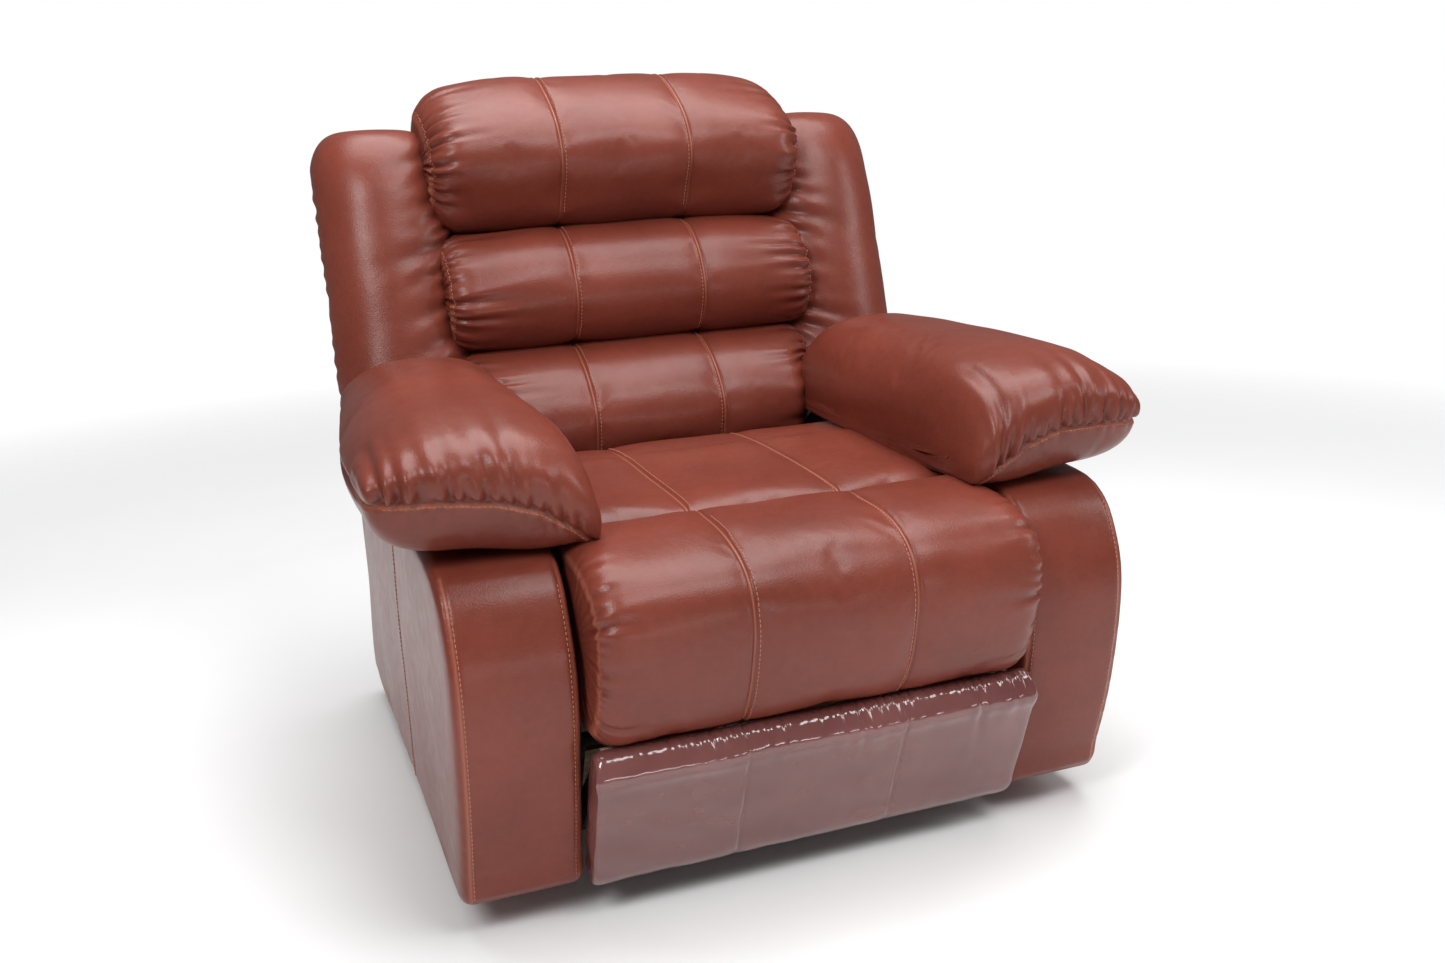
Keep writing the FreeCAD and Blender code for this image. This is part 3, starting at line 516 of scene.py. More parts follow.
# ---------------------------------------------------------------- finishing a piece
def dress(piece, body, nodes=(), slot="leather", material=None):
    """Give a piece its material, chosen by slot unless one is given, smooth shading and its body, and hide
    the CAD nodes that it stands for.
    """
    piece.data.materials.clear()
    piece.data.materials.append(material or BY_SLOT[slot])
    piece.data.shade_smooth()
    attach(piece, body)
    if nodes:
        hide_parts(*nodes)


def ring_path(piece, key, value, order_key, low, high, tolerance=1e-5):
    """Points and normals of the vertices whose stored number is value, in order of another number."""
    chosen = np.abs(get_values(piece, key) - value) < tolerance
    order_values = get_values(piece, order_key)
    chosen &= (order_values > low) & (order_values < high)
    index = np.nonzero(chosen)[0]
    index = index[np.argsort(order_values[index])]
    return points_of(piece)[index], normals_of(piece)[index]


STITCH_PITCH = 6.2 * MM
STITCH_LENGTH = 4.6 * MM
THREAD_RADIUS = 0.62 * MM
THREAD_LIFT = 0.25 * MM
THREAD_SIDES = 6
STITCH_PROFILE = ((0.0, 0.25, -0.6), (0.14, 0.85, 0.1), (0.5, 1.0, 0.55), (0.86, 0.85, 0.1),
                  (1.0, 0.25, -0.6))


def stitch_points(ends):
    """Points of one stitch: thin where it enters the leather, full and raised in its middle.

    ends holds the place and normal at each end. STITCH_PROFILE holds place along the stitch, share of
    the radius, and height in radii.
    """
    (a, up_a), (b, up_b) = ends
    forward = (b - a) / np.linalg.norm(b - a)
    up = up_a + up_b
    up -= forward * (up @ forward)
    up /= max(np.linalg.norm(up), 1e-9)
    aside = np.cross(forward, up)
    points = []
    for t, scale, height in STITCH_PROFILE:
        centre = a + (b - a) * t + up * (THREAD_LIFT + height * THREAD_RADIUS * 0.8)
        for k in range(THREAD_SIDES):
            angle = 2 * math.pi * k / THREAD_SIDES
            points.append(centre + THREAD_RADIUS * scale * (aside * math.cos(angle) + up * math.sin(angle)))
    return points


def stitch_faces(base):
    """Faces of one stitch whose points start at base."""
    faces = []
    for ring in range(len(STITCH_PROFILE) - 1):
        near, far = base + ring * THREAD_SIDES, base + (ring + 1) * THREAD_SIDES
        for k in range(THREAD_SIDES):
            m = (k + 1) % THREAD_SIDES
            faces.append((near + k, near + m, far + m, far + k))
    faces.append(tuple(base + k for k in reversed(range(THREAD_SIDES))))
    return faces + [tuple(far + k for k in range(THREAD_SIDES))]


def stitch_row(name, path, normals, body):
    """A row of short raised stitches along a path on a surface."""
    steps = np.linalg.norm(np.diff(path, axis=0), axis=1)
    distance = np.concatenate([[0], np.cumsum(steps)])
    verts, faces = [], []
    for i in range(int(distance[-1] / STITCH_PITCH)):
        ends = []
        for sign in (-1, 1):
            place = i * STITCH_PITCH + (STITCH_PITCH + sign * STITCH_LENGTH) / 2
            at, up = (np.array([np.interp(place, distance, row[:, k]) for k in range(3)])
                      for row in (path, normals))
            ends.append((at, up / max(np.linalg.norm(up), 1e-9)))
        faces += stitch_faces(len(verts))
        verts += stitch_points(ends)
    dress(new_piece(name, [tuple(v) for v in verts], faces), body, material=THREAD)


RAY_START = 0.2


def surface_path(piece, starts, heading):
    """Where rays from the starts meet a piece: places and normals."""
    mesh = piece.data
    tree = BVHTree.FromPolygons([v.co for v in mesh.vertices], [p.vertices for p in mesh.polygons])
    places, normals = [], []
    for start in starts:
        place, normal, _, _ = tree.ray_cast(Vector(start), Vector(heading))
        if place is not None:
            places.append(np.array(place))
            normals.append(np.array(normal))
    return np.array(places), np.array(normals)


# ---------------------------------------------------------------- pillows, seat and roll
SEAM_X = 104.7 * MM
STITCH_ASIDE = 5.5 * MM


END_TURNS = np.radians(np.linspace(0, 84, 9))[1:]
END_FRACTIONS = (0.86, 0.68, 0.48, 0.28, 0.1)
END_BULGE = 3.0 * MM
END_SPREAD = 30 * MM


def bolster_stations(half, end_radius, crown, end_scale, seams, step):
    """Stations of a bolster: (stored place along, real place, share of the outline).

    After the straight part come the rounded ends, and then the end panels, which shrink to a point.
    """
    straight = half - end_radius
    middle_part = [(x, x, 1.0 + crown * (1 - (x / half) ** 2))
                   for x in stations(-straight, straight, step, seams)]
    end = []
    for turn in END_TURNS:
        x = straight + end_radius * math.sin(turn)
        end.append((x + 1e-5, x, end_scale + (1 - end_scale) * math.cos(turn)))
    last = end[-1][1]
    for fraction in END_FRACTIONS:
        end.append((half + (1 - fraction) * END_SPREAD, last + END_BULGE * (1 - fraction ** 2),
                    end_scale * fraction))
    start = [(-stored, -x, scale) for stored, x, scale in reversed(end)]
    return start + middle_part + end


def bolster(name, outline, half, end_radius, count, crown=0.0, end_scale=0.72, pull_back=0.0,
            seams=(-SEAM_X, SEAM_X), step=8 * MM, drop=0.0, sweep=0.0):
    """A pillow that reaches half to each side: one outline, rounded off at both ends.

    outline is in depth and height. crown swells the middle, end_scale is how much of the outline is left
    where the end panel starts, and pull_back moves the ends towards the back of the outline. drop lowers the
    top towards the ends, and sweep carries the lower part of the ends backwards.
    """
    ring = closed_curve(outline, count)
    low, high = ring.min(axis=0), ring.max(axis=0)
    centre = (high + low) / 2
    centre[0] += pull_back
    rise = (ring[:, 1] - low[1]) / (high[1] - low[1])
    along, rings = [], []
    for stored, x, scale in bolster_stations(half, end_radius, crown, end_scale, seams, step):
        shape = centre + (ring - centre) * scale
        outer = min(1.0, abs(x) / half)
        shape[:, 1] -= drop * outer ** 4 * rise
        shape[:, 0] += sweep * smooth_step(outer, 0.80, 1.0) * (1 - 0.75 * smooth_step(rise, 0.6, 1.0))
        rings.append(np.column_stack([np.full(count, x), shape]))
        along.append(stored)
    return loft(name, rings, along, rim=half - np.abs(np.array(along)))


def near_seams(along):
    """Distance to the nearer of the two upright seams."""
    return np.minimum(np.abs(along + SEAM_X), np.abs(along - SEAM_X))


def finish_bolster(piece, seed, gather_range, gather_count, gather_length, gather_depth):
    """Subdivide a pillow and add seams, long and short end gathers and a slight unevenness."""
    subdivide(piece)
    along, around, rim = (get_values(piece, key) for key in ("along", "around", "rim"))
    places = points_of(piece)
    relief = seam_relief(near_seams(along))
    relief += 0.9 * MM * ripples(places, seed, 0.19)
    creases = np.zeros(len(places))
    for end in (-1, 1):
        spots = gather_spots(seed + 7 * end, *gather_range, gather_count, 4.0 * MM, gather_length,
                             gather_depth)
        spots += gather_spots(seed + 3 + 5 * end, *gather_range, 2 * gather_count, 2.6 * MM,
                              0.4 * gather_length, 0.45 * gather_depth)
        this_end = (np.sign(along) == end).astype(float)
        fold = gathers(around, np.clip(rim, 0, None), spots) * this_end
        fold *= smooth_step(rim, -22 * MM, 2 * MM)
        relief += fold
        creases += np.clip(-fold / (4 * MM), 0, 1)
    # The upright seams and the end panel's seam are painted paler, partly rubbed and partly painted
    # highlight; pleat valleys and the strips beside the seams get painted shade.
    edge_line = bell(np.abs(rim - 1.0 * MM), 1.6 * MM)
    relief -= 1.6 * MM * bell(rim + 2.0 * MM, 2.2 * MM)
    edge = 0.8 * bell(near_seams(along), 1.3 * MM) + 0.7 * edge_line
    carve(piece, relief, edge, 0.9 * creases + 0.25 * bell(near_seams(along), 6 * MM))


def seam_stitches(piece, name, body, low, high):
    """A row of stitches beside each upright seam, between two distances round the outline."""
    for i, seam in enumerate((-SEAM_X, SEAM_X)):
        outward = math.copysign(STITCH_ASIDE, seam)
        path, normals = ring_path(piece, "along", round(seam - outward, 6), "around", low, high)
        stitch_row("%s_stitches_%d" % (name, i), path, normals, body)


# Outlines as depth and height in millimetres from the low corner of the CAD solid's box.
HEADREST = [(64, 1), (31, 50), (10, 101), (31, 153), (87, 196), (156, 226), (212, 216), (234, 186),
            (234, 158), (186, 152), (134, 3)]
MIDDLE = [(41, 1), (12, 34), (3, 78), (28, 132), (80, 168), (150, 172), (158, 166), (104, 2)]
LUMBAR = [(23, 2), (5, 36), (3, 82), (42, 131), (105, 166), (164, 170), (168, 162), (114, 2)]
SEAT = [(2, 40), (4, 82), (40, 92), (190, 94), (330, 92), (396, 82), (415, 55), (408, 5), (12, 2)]
ROLL = [(166, 234), (98, 231), (46, 214), (18, 186), (8, 146), (15, 100), (33, 45), (58, 8), (92, 1),
        (176, 2), (187, 20), (188, 132), (212, 146), (214, 216), (198, 233)]

headrest = bolster("headrest", from_corner("headrest_pillow", HEADREST), 302 * MM, 50 * MM, 112,
                   end_scale=0.66, pull_back=30 * MM, drop=26 * MM)
middle = bolster("middle_pillow_cover", from_corner("middle_pillow", MIDDLE), 297 * MM, 36 * MM, 96,
                 crown=0.02, end_scale=0.74, pull_back=26 * MM, drop=8 * MM)
lumbar = bolster("lumbar_pillow_cover", from_corner("lumbar_pillow", LUMBAR), 287 * MM, 34 * MM, 96,
                 crown=0.02, end_scale=0.74, pull_back=26 * MM, sweep=48 * MM)
seat = bolster("seat_cushion_cover", from_corner("seat_cushion", SEAT), 289 * MM, 26 * MM, 120,
               crown=0.012, end_scale=0.82)
roll = bolster("knee_roll_cover", from_corner("knee_roll", ROLL), 286 * MM, 34 * MM, 112,
               crown=0.012, end_scale=0.80, pull_back=18 * MM)


BACK_SHARE = 0.62


def pillow_pins(piece):
    """Held where it is sewn, and in the rear part, where it lies on the frame behind it."""
    along, rim = get_values(piece, "along"), get_values(piece, "rim")
    places = points_of(piece)
    pins = bell(near_seams(along), 4 * MM)
    pins = np.maximum(pins, 1 - smooth_step(rim, -2 * MM, 5 * MM))
    lean = np.interp(places[:, 2], [places[:, 2].min(), places[:, 2].max()], [0, 50 * MM])
    depth = places[:, 1] - lean
    limit = np.quantile(depth, BACK_SHARE)
    return np.maximum(pins, smooth_step(depth, limit, limit + 20 * MM))


for piece, cap in ((headrest, 12 * MM), (middle, 12 * MM), (lumbar, 12 * MM), (seat, 7 * MM),
                   (roll, 9 * MM)):
    add_cloth(piece, cap, 3.2, pillow_pins(piece), growth=0.003)


# ---------------------------------------------------------------- wings
WING_POINTS = 96
WING_DOME = 84 * MM
WING_FOOT = 26 * MM


def wing_columns(bottom, top):
    """Levels of a wing's sections with their share of the full section, from the bottom to the dome."""
    columns = [(bottom - 1 * MM, 0.12)]
    for turn in np.radians(np.linspace(84, 0, 6))[:-1]:
        columns.append((bottom + WING_FOOT * (1 - math.sin(turn)), 0.3 + 0.7 * math.cos(turn)))
    columns += [(level, 1.0) for level in stations(bottom + WING_FOOT, top - WING_DOME, 6 * MM)]
    for turn in np.radians(np.linspace(0, 86, 13))[1:]:
        columns.append((top - WING_DOME * (1 - math.sin(turn)), 0.25 + 0.75 * math.cos(turn) ** 0.66))
    for fraction in (0.7, 0.4, 0.12):
        columns.append((top + 2 * MM * (1 - fraction), 0.30 * fraction))
    return columns


def wing(word, side):
    """Upright side bolster of the back: a rounded column that leans with the back."""
    low, high = low_high("wing_" + word)
    inner, outer = inner_outer("wing_" + word, side)
    inner -= 46 * MM
    middle_x, half_x = (inner + outer) / 2, (outer - inner) / 2
    top, bottom = high[2], low[2] - 30 * MM
    front = low[1] - 24 * MM
    ahead, behind = 92 * MM, 60 * MM
    angles = np.linspace(0, 2 * math.pi, WING_POINTS, endpoint=False)
    power = 2 / 2.15
    shape_x = np.sign(np.cos(angles)) * np.abs(np.cos(angles)) ** power
    shape_y = np.sign(np.sin(angles)) * np.abs(np.sin(angles)) ** power
    rings, along = [], []
    for level, scale in wing_columns(bottom, top):
        near = front + (level - low[2]) * math.tan(BACK_LEAN)
        taper = 1.0 + 0.06 * math.sin(math.pi * (level - bottom) / (top - bottom))
        rings.append(np.column_stack([
            side * (middle_x + shape_x * half_x * scale),
            near + ahead + np.where(shape_y < 0, ahead, behind) * shape_y * scale * taper,
            np.full(WING_POINTS, level),
        ]))
        along.append(level)
    return loft("wing_cover_" + word, rings, along)


wings = {}
for word, side in SIDES:
    wings[word] = wing(word, side)
    places = points_of(wings[word])
    depth = places[:, 1] - (places[:, 2] - places[:, 2].min()) * math.tan(BACK_LEAN)
    held = smooth_step(depth, np.quantile(depth, 0.6), np.quantile(depth, 0.75))
    add_cloth(wings[word], 8 * MM, 2.6, held, growth=0.004)


# ---------------------------------------------------------------- arm pads
def superellipse(u, power):
    """Height over a width from -1 to 1, 1 in the middle and 0 at the edges."""
    return (1 - np.abs(np.clip(u, -1, 1)) ** power) ** (1 / power)


PAD_SEAM_OUTER_END = {"left": 72, "right": 56}


def pad_seam_level(word, u):
    """Height of the pad's front seam, from its inner edge at u = -1 to its outer edge at u = 1."""
    low, _ = low_high("arm_pad_" + word)
    outer_end = PAD_SEAM_OUTER_END[word]
    levels = (-4, 4, 18, 46, 64, 0.5 * (72 + outer_end), outer_end)
    return low[2] + np.interp(u, (-1, -0.92, -0.8, -0.5, -0.1, 0.4, 1), levels) * MM


PAD_POINTS = 176


def pad_outline(word, u):
    """Section of an arm pad in depth and height, at u from -1 (inner edge) to 1 (outer edge)."""
    low, high = low_high("arm_pad_" + word)
    (front, bottom), (rear, top) = low[1:], high[1:]
    inner_half = u <= 0
    rise = superellipse(u, 3.7 if inner_half else 2.9)
    equator = float(pad_seam_level(word, u))
    crest = top + 2 * MM - 8 * MM * smooth_step(u, 0.2, 1.0) - 7 * MM * smooth_step(-u, 0.1, 1.0)
    up = (crest - equator) * rise
    base = equator - (equator - bottom - 1 * MM) * superellipse(u, 3.0)
    hang = equator - bottom - 1 * MM + 13 * MM * smooth_step(-u, -0.3, 0.6)
    sag = equator - hang * superellipse(u, 4.2 if inner_half else 3.0)
    blunt = 6 * MM if u < 0 else 28 * MM
    nose = front + 24 * MM + blunt * (1 - superellipse(u, 3.2)) - 8 * MM * rise
    tail = rear - 34 * MM * (1 - superellipse(u, 2.2))
    return np.array([
        (nose - 14 * MM * rise, equator),
        (nose - 22 * MM * rise, equator + 0.26 * up),
        (nose - 17 * MM * rise, equator + 0.52 * up),
        (nose + 18 * MM, equator + 0.81 * up),
        (nose + 100 * MM, equator + 0.985 * up),
        (nose + 230 * MM, equator + 1.0 * up),
        (tail - 190 * MM, equator + 0.96 * up),
        (tail - 80 * MM, equator + 0.90 * up),
        (tail - 18 * MM, equator + 0.62 * up),
        (tail, equator + 0.1 * up),
        (tail - 22 * MM, base + 4 * MM),
        (tail - 120 * MM, base),
        (nose + 160 * MM, base),
        (nose + 30 * MM, sag),
        (nose + 6 * MM - 8 * MM * rise, sag + 0.32 * (equator - sag)),
    ])


def arm_pad(word, side):
    """Overstuffed pillow on the arm: sections in depth and height, from the inner to the outer edge."""
    low, high = low_high("arm_pad_" + word)
    inner, outer = inner_outer("arm_pad_" + word, side)
    inner -= 6 * MM
    half, centre = (outer - inner) / 2, (outer + inner) / 2
    rings, along = [], []
    for turn in np.radians(np.linspace(-89, 89, 75)):
        u = math.sin(turn)
        ring = closed_curve(pad_outline(word, u), PAD_POINTS)
        narrow = 30 * MM * smooth_step(ring[:, 0], low[1] + 150 * MM, high[1]) * (0.5 + 0.5 * u)
        x = centre + half * u
        rings.append(np.column_stack([side * (x - narrow), ring]))
        along.append(side * x)
    return loft("arm_pad_cover_" + word, rings, along)


pads = {}
for word, side in SIDES:
    pads[word] = arm_pad(word, side)
    low, _ = low_high("arm_pad_" + word)
    held = 1 - smooth_step(points_of(pads[word])[:, 2], low[2] + 4 * MM, low[2] + 26 * MM)
    add_cloth(pads[word], 7 * MM, 2.4, held, growth=0.003)

simulate()

# ---------------------------------------------------------------- seams, pleats and stitches
finish_bolster(headrest, 11, (0.02, 0.36), 11, gather_length=46 * MM, gather_depth=4.4 * MM)
finish_bolster(middle, 23, (0.0, 0.26), 9, gather_length=58 * MM, gather_depth=4.4 * MM)
finish_bolster(lumbar, 37, (0.0, 0.26), 9, gather_length=58 * MM, gather_depth=4.2 * MM)
finish_bolster(seat, 41, (0.02, 0.4), 5, gather_length=22 * MM, gather_depth=1.4 * MM)
finish_bolster(roll, 53, (0.05, 0.46), 8, gather_length=44 * MM, gather_depth=3.4 * MM)
dress(headrest, "back", ["headrest_pillow"])
dress(middle, "back", ["middle_pillow"])
dress(lumbar, "back", ["lumbar_pillow"])
dress(seat, "seat", ["seat_cushion"])
dress(roll, "seat", ["knee_roll"])


def finish_wing(piece, word, side):
    """Pleats along the inner edge and shallow ripples along the outer back edge."""
    subdivide(piece)
    places, normals = points_of(piece), normals_of(piece)
    low, high = low_high("wing_" + word)
    inner, outer = inner_outer("wing_" + word, side)
    level, across = places[:, 2], side * places[:, 0]
    spots = gather_spots(61 + int(side), low[2] + 30 * MM, high[2] - 30 * MM, 12, 6 * MM, 46 * MM, 3.4 * MM)
    facing_front = smooth_step(-normals[:, 1], -0.35, 0.3)
    fold = gathers(level, across - (inner - 20 * MM), spots, slope=-0.25) * facing_front
    outer_spots = gather_spots(71 + int(side), low[2] + 20 * MM, high[2] - 60 * MM, 14, 6.5 * MM, 34 * MM,
                               2.4 * MM)
    facing_back = smooth_step(normals[:, 1], -0.5, 0.4)
    fold += gathers(level, outer + 4 * MM - across, outer_spots, slope=0.2) * facing_back
    relief = fold + 1.2 * MM * ripples(places, 5 + int(side), 0.16)
    # Painted shade in the pleat valleys.
    carve(piece, relief, None, np.clip(-fold / (4 * MM), 0, 1))
    dress(piece, "back", ["wing_" + word])


def finish_pad(piece, word, side):
    """Curved seam across the front, with long pleats above it and short ones below."""
    subdivide(piece)
    places = points_of(piece)
    low, _ = low_high("arm_pad_" + word)
    inner, outer = inner_outer("arm_pad_" + word, side)
    across = side * places[:, 0]
    above = places[:, 2] - pad_seam_level(word, 2 * (across - inner) / (outer - inner) - 1)
    front_part = 1 - smooth_step(places[:, 1], low[1] + 90 * MM, low[1] + 130 * MM)
    sewn = (inner + 10 * MM, outer - 10 * MM)
    long_pleats = gather_spots(81 + int(side), *sewn, 13, 4.8 * MM, 60 * MM, 7.5 * MM)
    short_pleats = gather_spots(85 + int(side), *sewn, 15, 3.6 * MM, 14 * MM, 1.6 * MM)
    over = gathers(across, np.clip(above, 0, None), long_pleats, slope=0.10)
    under = gathers(across, np.clip(-above, 0, None), short_pleats)
    fold = over * smooth_step(above, -2 * MM, 5 * MM) + under * smooth_step(-above, -1 * MM, 4 * MM)
    fold *= front_part
    groove = bell(above, 3.0 * MM) * front_part
    swell = bell(above - 26 * MM, 24 * MM) * front_part
    relief = fold - 4.5 * MM * groove + 3.0 * MM * swell + 0.8 * MM * ripples(places, 3 + int(side), 0.2)
    # The lip below the seam is painted paler, partly rubbed and partly painted highlight; painted shade in
    # the pleat valleys and the seam groove.
    edge = 0.9 * bell(above + 4.0 * MM, 1.8 * MM) * front_part
    carve(piece, relief, edge, 0.4 * np.clip(-fold / (6 * MM), 0, 1) + 0.6 * groove)
    dress(piece, "base", ["arm_pad_" + word])
    row = np.linspace(inner + 14 * MM, outer - 14 * MM, 120)
    level = pad_seam_level(word, 2 * (row - inner) / (outer - inner) - 1) - 5 * MM
    starts = [(side * x, low[1] - RAY_START, z) for x, z in zip(row, level)]
    path, normals = surface_path(piece, starts, (0, 1, 0))
    stitch_row("arm_pad_stitches_" + word, path, normals, "base")


for word, side in SIDES:
    finish_wing(wings[word], word, side)
for word, side in SIDES:
    finish_pad(pads[word], word, side)


def rim_stitches(piece, name, body, low, high, distance=4 * MM):
    """A row of stitches round each end, beside the end panel's seam."""
    rims, along = get_values(piece, "rim"), get_values(piece, "along")
    for word, side in SIDES:
        levels = np.unique(np.round(along[(np.sign(along) == side) & (rims > 0)], 6))
        value = levels[np.argmin(np.abs(np.abs(levels) - (np.abs(levels).max() - distance)))]
        path, normals = ring_path(piece, "along", value, "around", low, high, 2e-6)
        stitch_row("%s_end_stitches_%s" % (name, word), path, normals, body)


rim_stitches(headrest, "headrest", "back", 0.02, 0.38)
rim_stitches(middle, "middle", "back", 0.0, 0.26)
rim_stitches(lumbar, "lumbar", "back", 0.0, 0.26)
seam_stitches(headrest, "headrest", "back", 0.02, 0.36)
seam_stitches(middle, "middle", "back", 0.0, 0.25)
seam_stitches(lumbar, "lumbar", "back", 0.0, 0.25)
seam_stitches(seat, "seat", "seat", 0.03, 0.44)
seam_stitches(roll, "roll", "seat", 0.0, 0.42)


# ---------------------------------------------------------------- arm bodies
ARM_CORNER = 11 * MM
ARM_VOXEL = 6 * MM


def arm_outline(low, high):
    """Side view of an arm in depth and height: a bulging front, a flat top and a stepped rear."""
    front, bottom = low[1:]
    rear, top = high[1:]
    return np.array([
        (front + 64 * MM, bottom), (front + 42 * MM, bottom + 50 * MM), (front + 20 * MM, bottom + 130 * MM),
        (front + 6 * MM, bottom + 215 * MM), (front + 1 * MM, bottom + 285 * MM),
        (front + 8 * MM, bottom + 335 * MM), (front + 34 * MM, bottom + 390 * MM),
        (front + 72 * MM, bottom + 418 * MM), (front + 140 * MM, top), (front + 400 * MM, top),
        (front + 655 * MM, top - 3 * MM), (front + 735 * MM, top - 32 * MM), (rear - 20 * MM, top - 40 * MM),
        (rear, top - 70 * MM), (rear, bottom + 180 * MM), (rear, bottom),
        (front + 560 * MM, bottom), (front + 300 * MM, bottom),
    ])


def arm_sections(inner, outer):
    """Places of an arm's sections from its inner to its outer face, with the share of the outline."""
    face = (0.03, 0.2, 0.4, 0.6, 0.8, 0.93)
    sections = [(inner, share) for share in face]
    for turn in np.radians((-80, -60, -40, -20, 0)):
        x = inner + ARM_CORNER * (1 + math.sin(turn))
        sections.append((x, 1 - (1 - math.cos(turn)) * ARM_CORNER / 0.22))
    sections += [(x, 1.0) for x in np.linspace(inner + ARM_CORNER, outer - ARM_CORNER, 16)[1:-1]]
    for turn in np.radians((0, 20, 40, 60, 80)):
        x = outer - ARM_CORNER * (1 - math.sin(turn))
        sections.append((x, 1 - (1 - math.cos(turn)) * ARM_CORNER / 0.22))
    return sections + [(outer, share) for share in reversed(face)]


def even_out(piece, voxel):
    """Remesh a piece into small even faces and soften its edges."""
    remesh = piece.modifiers.new("even", "REMESH")
    remesh.mode = "VOXEL"
    remesh.voxel_size = voxel
    remesh.use_smooth_shade = True
    smooth = piece.modifiers.new("smooth", "SMOOTH")
    smooth.factor = 0.5
    smooth.iterations = 3
    apply_modifiers(piece)


def side_seam_depth(low, level):
    """Depth of the upright seam on an arm's outer side, which leans slightly back."""
    return low[1] + 396 * MM + 0.04 * (level - low[2])


def arm_body(word, side):
    """Upholstered arm: a curved front panel between two upright side panels."""
    low, high = low_high("arm_cover_" + word)
    inner, outer = inner_outer("arm_cover_" + word, side)
    front, bottom, top = low[1], low[2], high[2]
    ring = closed_curve(arm_outline(low, high), 260, tension=0.42)
    centre = np.array([front + 450 * MM, bottom + 210 * MM])
    rings, along = [], []
    for x, share in arm_sections(inner, outer):
        rings.append(np.column_stack([np.full(len(ring), side * x), centre + (ring - centre) * share]))
        along.append(side * x)
    piece = loft("arm_cover_panel_" + word, rings, along)
    even_out(piece, ARM_VOXEL)
    subdivide(piece)
    places, normals = points_of(piece), normals_of(piece)
    across, level = side * places[:, 0], places[:, 2]
    facing_front = smooth_step(-normals[:, 1], 0.2, 0.6)
    outward = smooth_step(side * normals[:, 0], 0.6, 0.9)
    edge_seams = np.minimum(np.abs(across - (outer - 11 * MM)), np.abs(across - (inner + 8 * MM)))
    side_seam = np.abs(places[:, 1] - side_seam_depth(low, level))
    relief = -2.2 * MM * facing_front * bell(edge_seams, 3 * MM)
    relief -= 2.0 * MM * outward * bell(side_seam, 3 * MM)
    belly = bell(across - (inner + outer) / 2, 55 * MM) * facing_front
    relief += 3.0 * MM * belly + 1.5 * MM * ripples(places, 91 + int(side), 0.3)
    low_part = 1 - smooth_step(level, bottom + 8 * MM, bottom + 20 * MM)
    # Seams painted paler, partly rubbed and partly painted highlight; painted shade beside the outer side
    # seam.
    edge = facing_front * bell(edge_seams, 1.8 * MM) + 0.7 * outward * bell(side_seam, 1.8 * MM)
    carve(piece, relief * (1 - low_part), 0.8 * edge, 0.4 * outward * bell(side_seam, 6 * MM))
    levels = np.arange(bottom + 14 * MM, top - 26 * MM, 6 * MM)
    for i, x in enumerate((outer - 15 * MM, inner + 12 * MM)):
        path, normals = surface_path(piece, [(side * x, front - RAY_START, z) for z in levels], (0, 1, 0))
        stitch_row("arm_front_stitches_%s_%d" % (word, i), path, normals, "base")
    starts = [(side * (outer + RAY_START), side_seam_depth(low, z) + 6 * MM, z) for z in levels]
    path, normals = surface_path(piece, starts, (-side, 0, 0))
    stitch_row("arm_side_stitches_" + word, path, normals, "base")
    dress(piece, "base", ["arm_cover_" + word])


for word, side in SIDES:
    arm_body(word, side)


# ---------------------------------------------------------------- footrest cushion and film
# The panel's outline in millimetres: down its leaning front face, and behind that face.
PANEL = [(4, 30), (-5, 22), (-4, 9), (5, 0), (18, -5), (38, -6.5), (80, -5), (130, -4), (176, -2),
         (191, 5), (195, 18), (189, 31), (95, 31.8)]


def panel_outline(grow):
    """Outline of the footrest panel, in depth and height, grown by a film's thickness."""
    low, high = low_high("footrest_cushion")
    down = np.array([math.sin(PANEL_LEAN), -math.cos(PANEL_LEAN)])
    behind = np.array([math.cos(PANEL_LEAN), math.sin(PANEL_LEAN)])
    start = np.array([low[1] - 4.0 * MM, high[2] - 9.5 * MM])
    points = np.array([start + down * (a * MM) + behind * (b * MM) for a, b in PANEL])
    outward = points - points.mean(axis=0)
    return points + grow * outward / np.linalg.norm(outward, axis=1)[:, None]


def footrest_cover():
    """Leather cover of the footrest panel, with the same two seams as the seat."""
    piece = bolster("footrest_cushion_cover", panel_outline(0.0), 287 * MM, 12 * MM, 96, end_scale=0.93)
    subdivide(piece)
    seam = near_seams(get_values(piece, "along"))
    # Seams painted paler, partly rubbed and partly painted highlight.
    carve(piece, seam_relief(seam, pull=1.2 * MM), 0.8 * bell(seam, 1.3 * MM))
    dress(piece, "footrest", ["footrest_cushion"])


def film_creases():
    """Short creases along the film's top edge, with longer ones in two places right of the middle."""
    spots = gather_spots(101, -270 * MM, 270 * MM, 34, 3.6 * MM, 30 * MM, 1.5 * MM)
    spots += gather_spots(103, 40 * MM, 150 * MM, 9, 3.4 * MM, 42 * MM, 2.4 * MM)
    return spots + gather_spots(105, 200 * MM, 280 * MM, 6, 4.0 * MM, 48 * MM, 2.4 * MM)


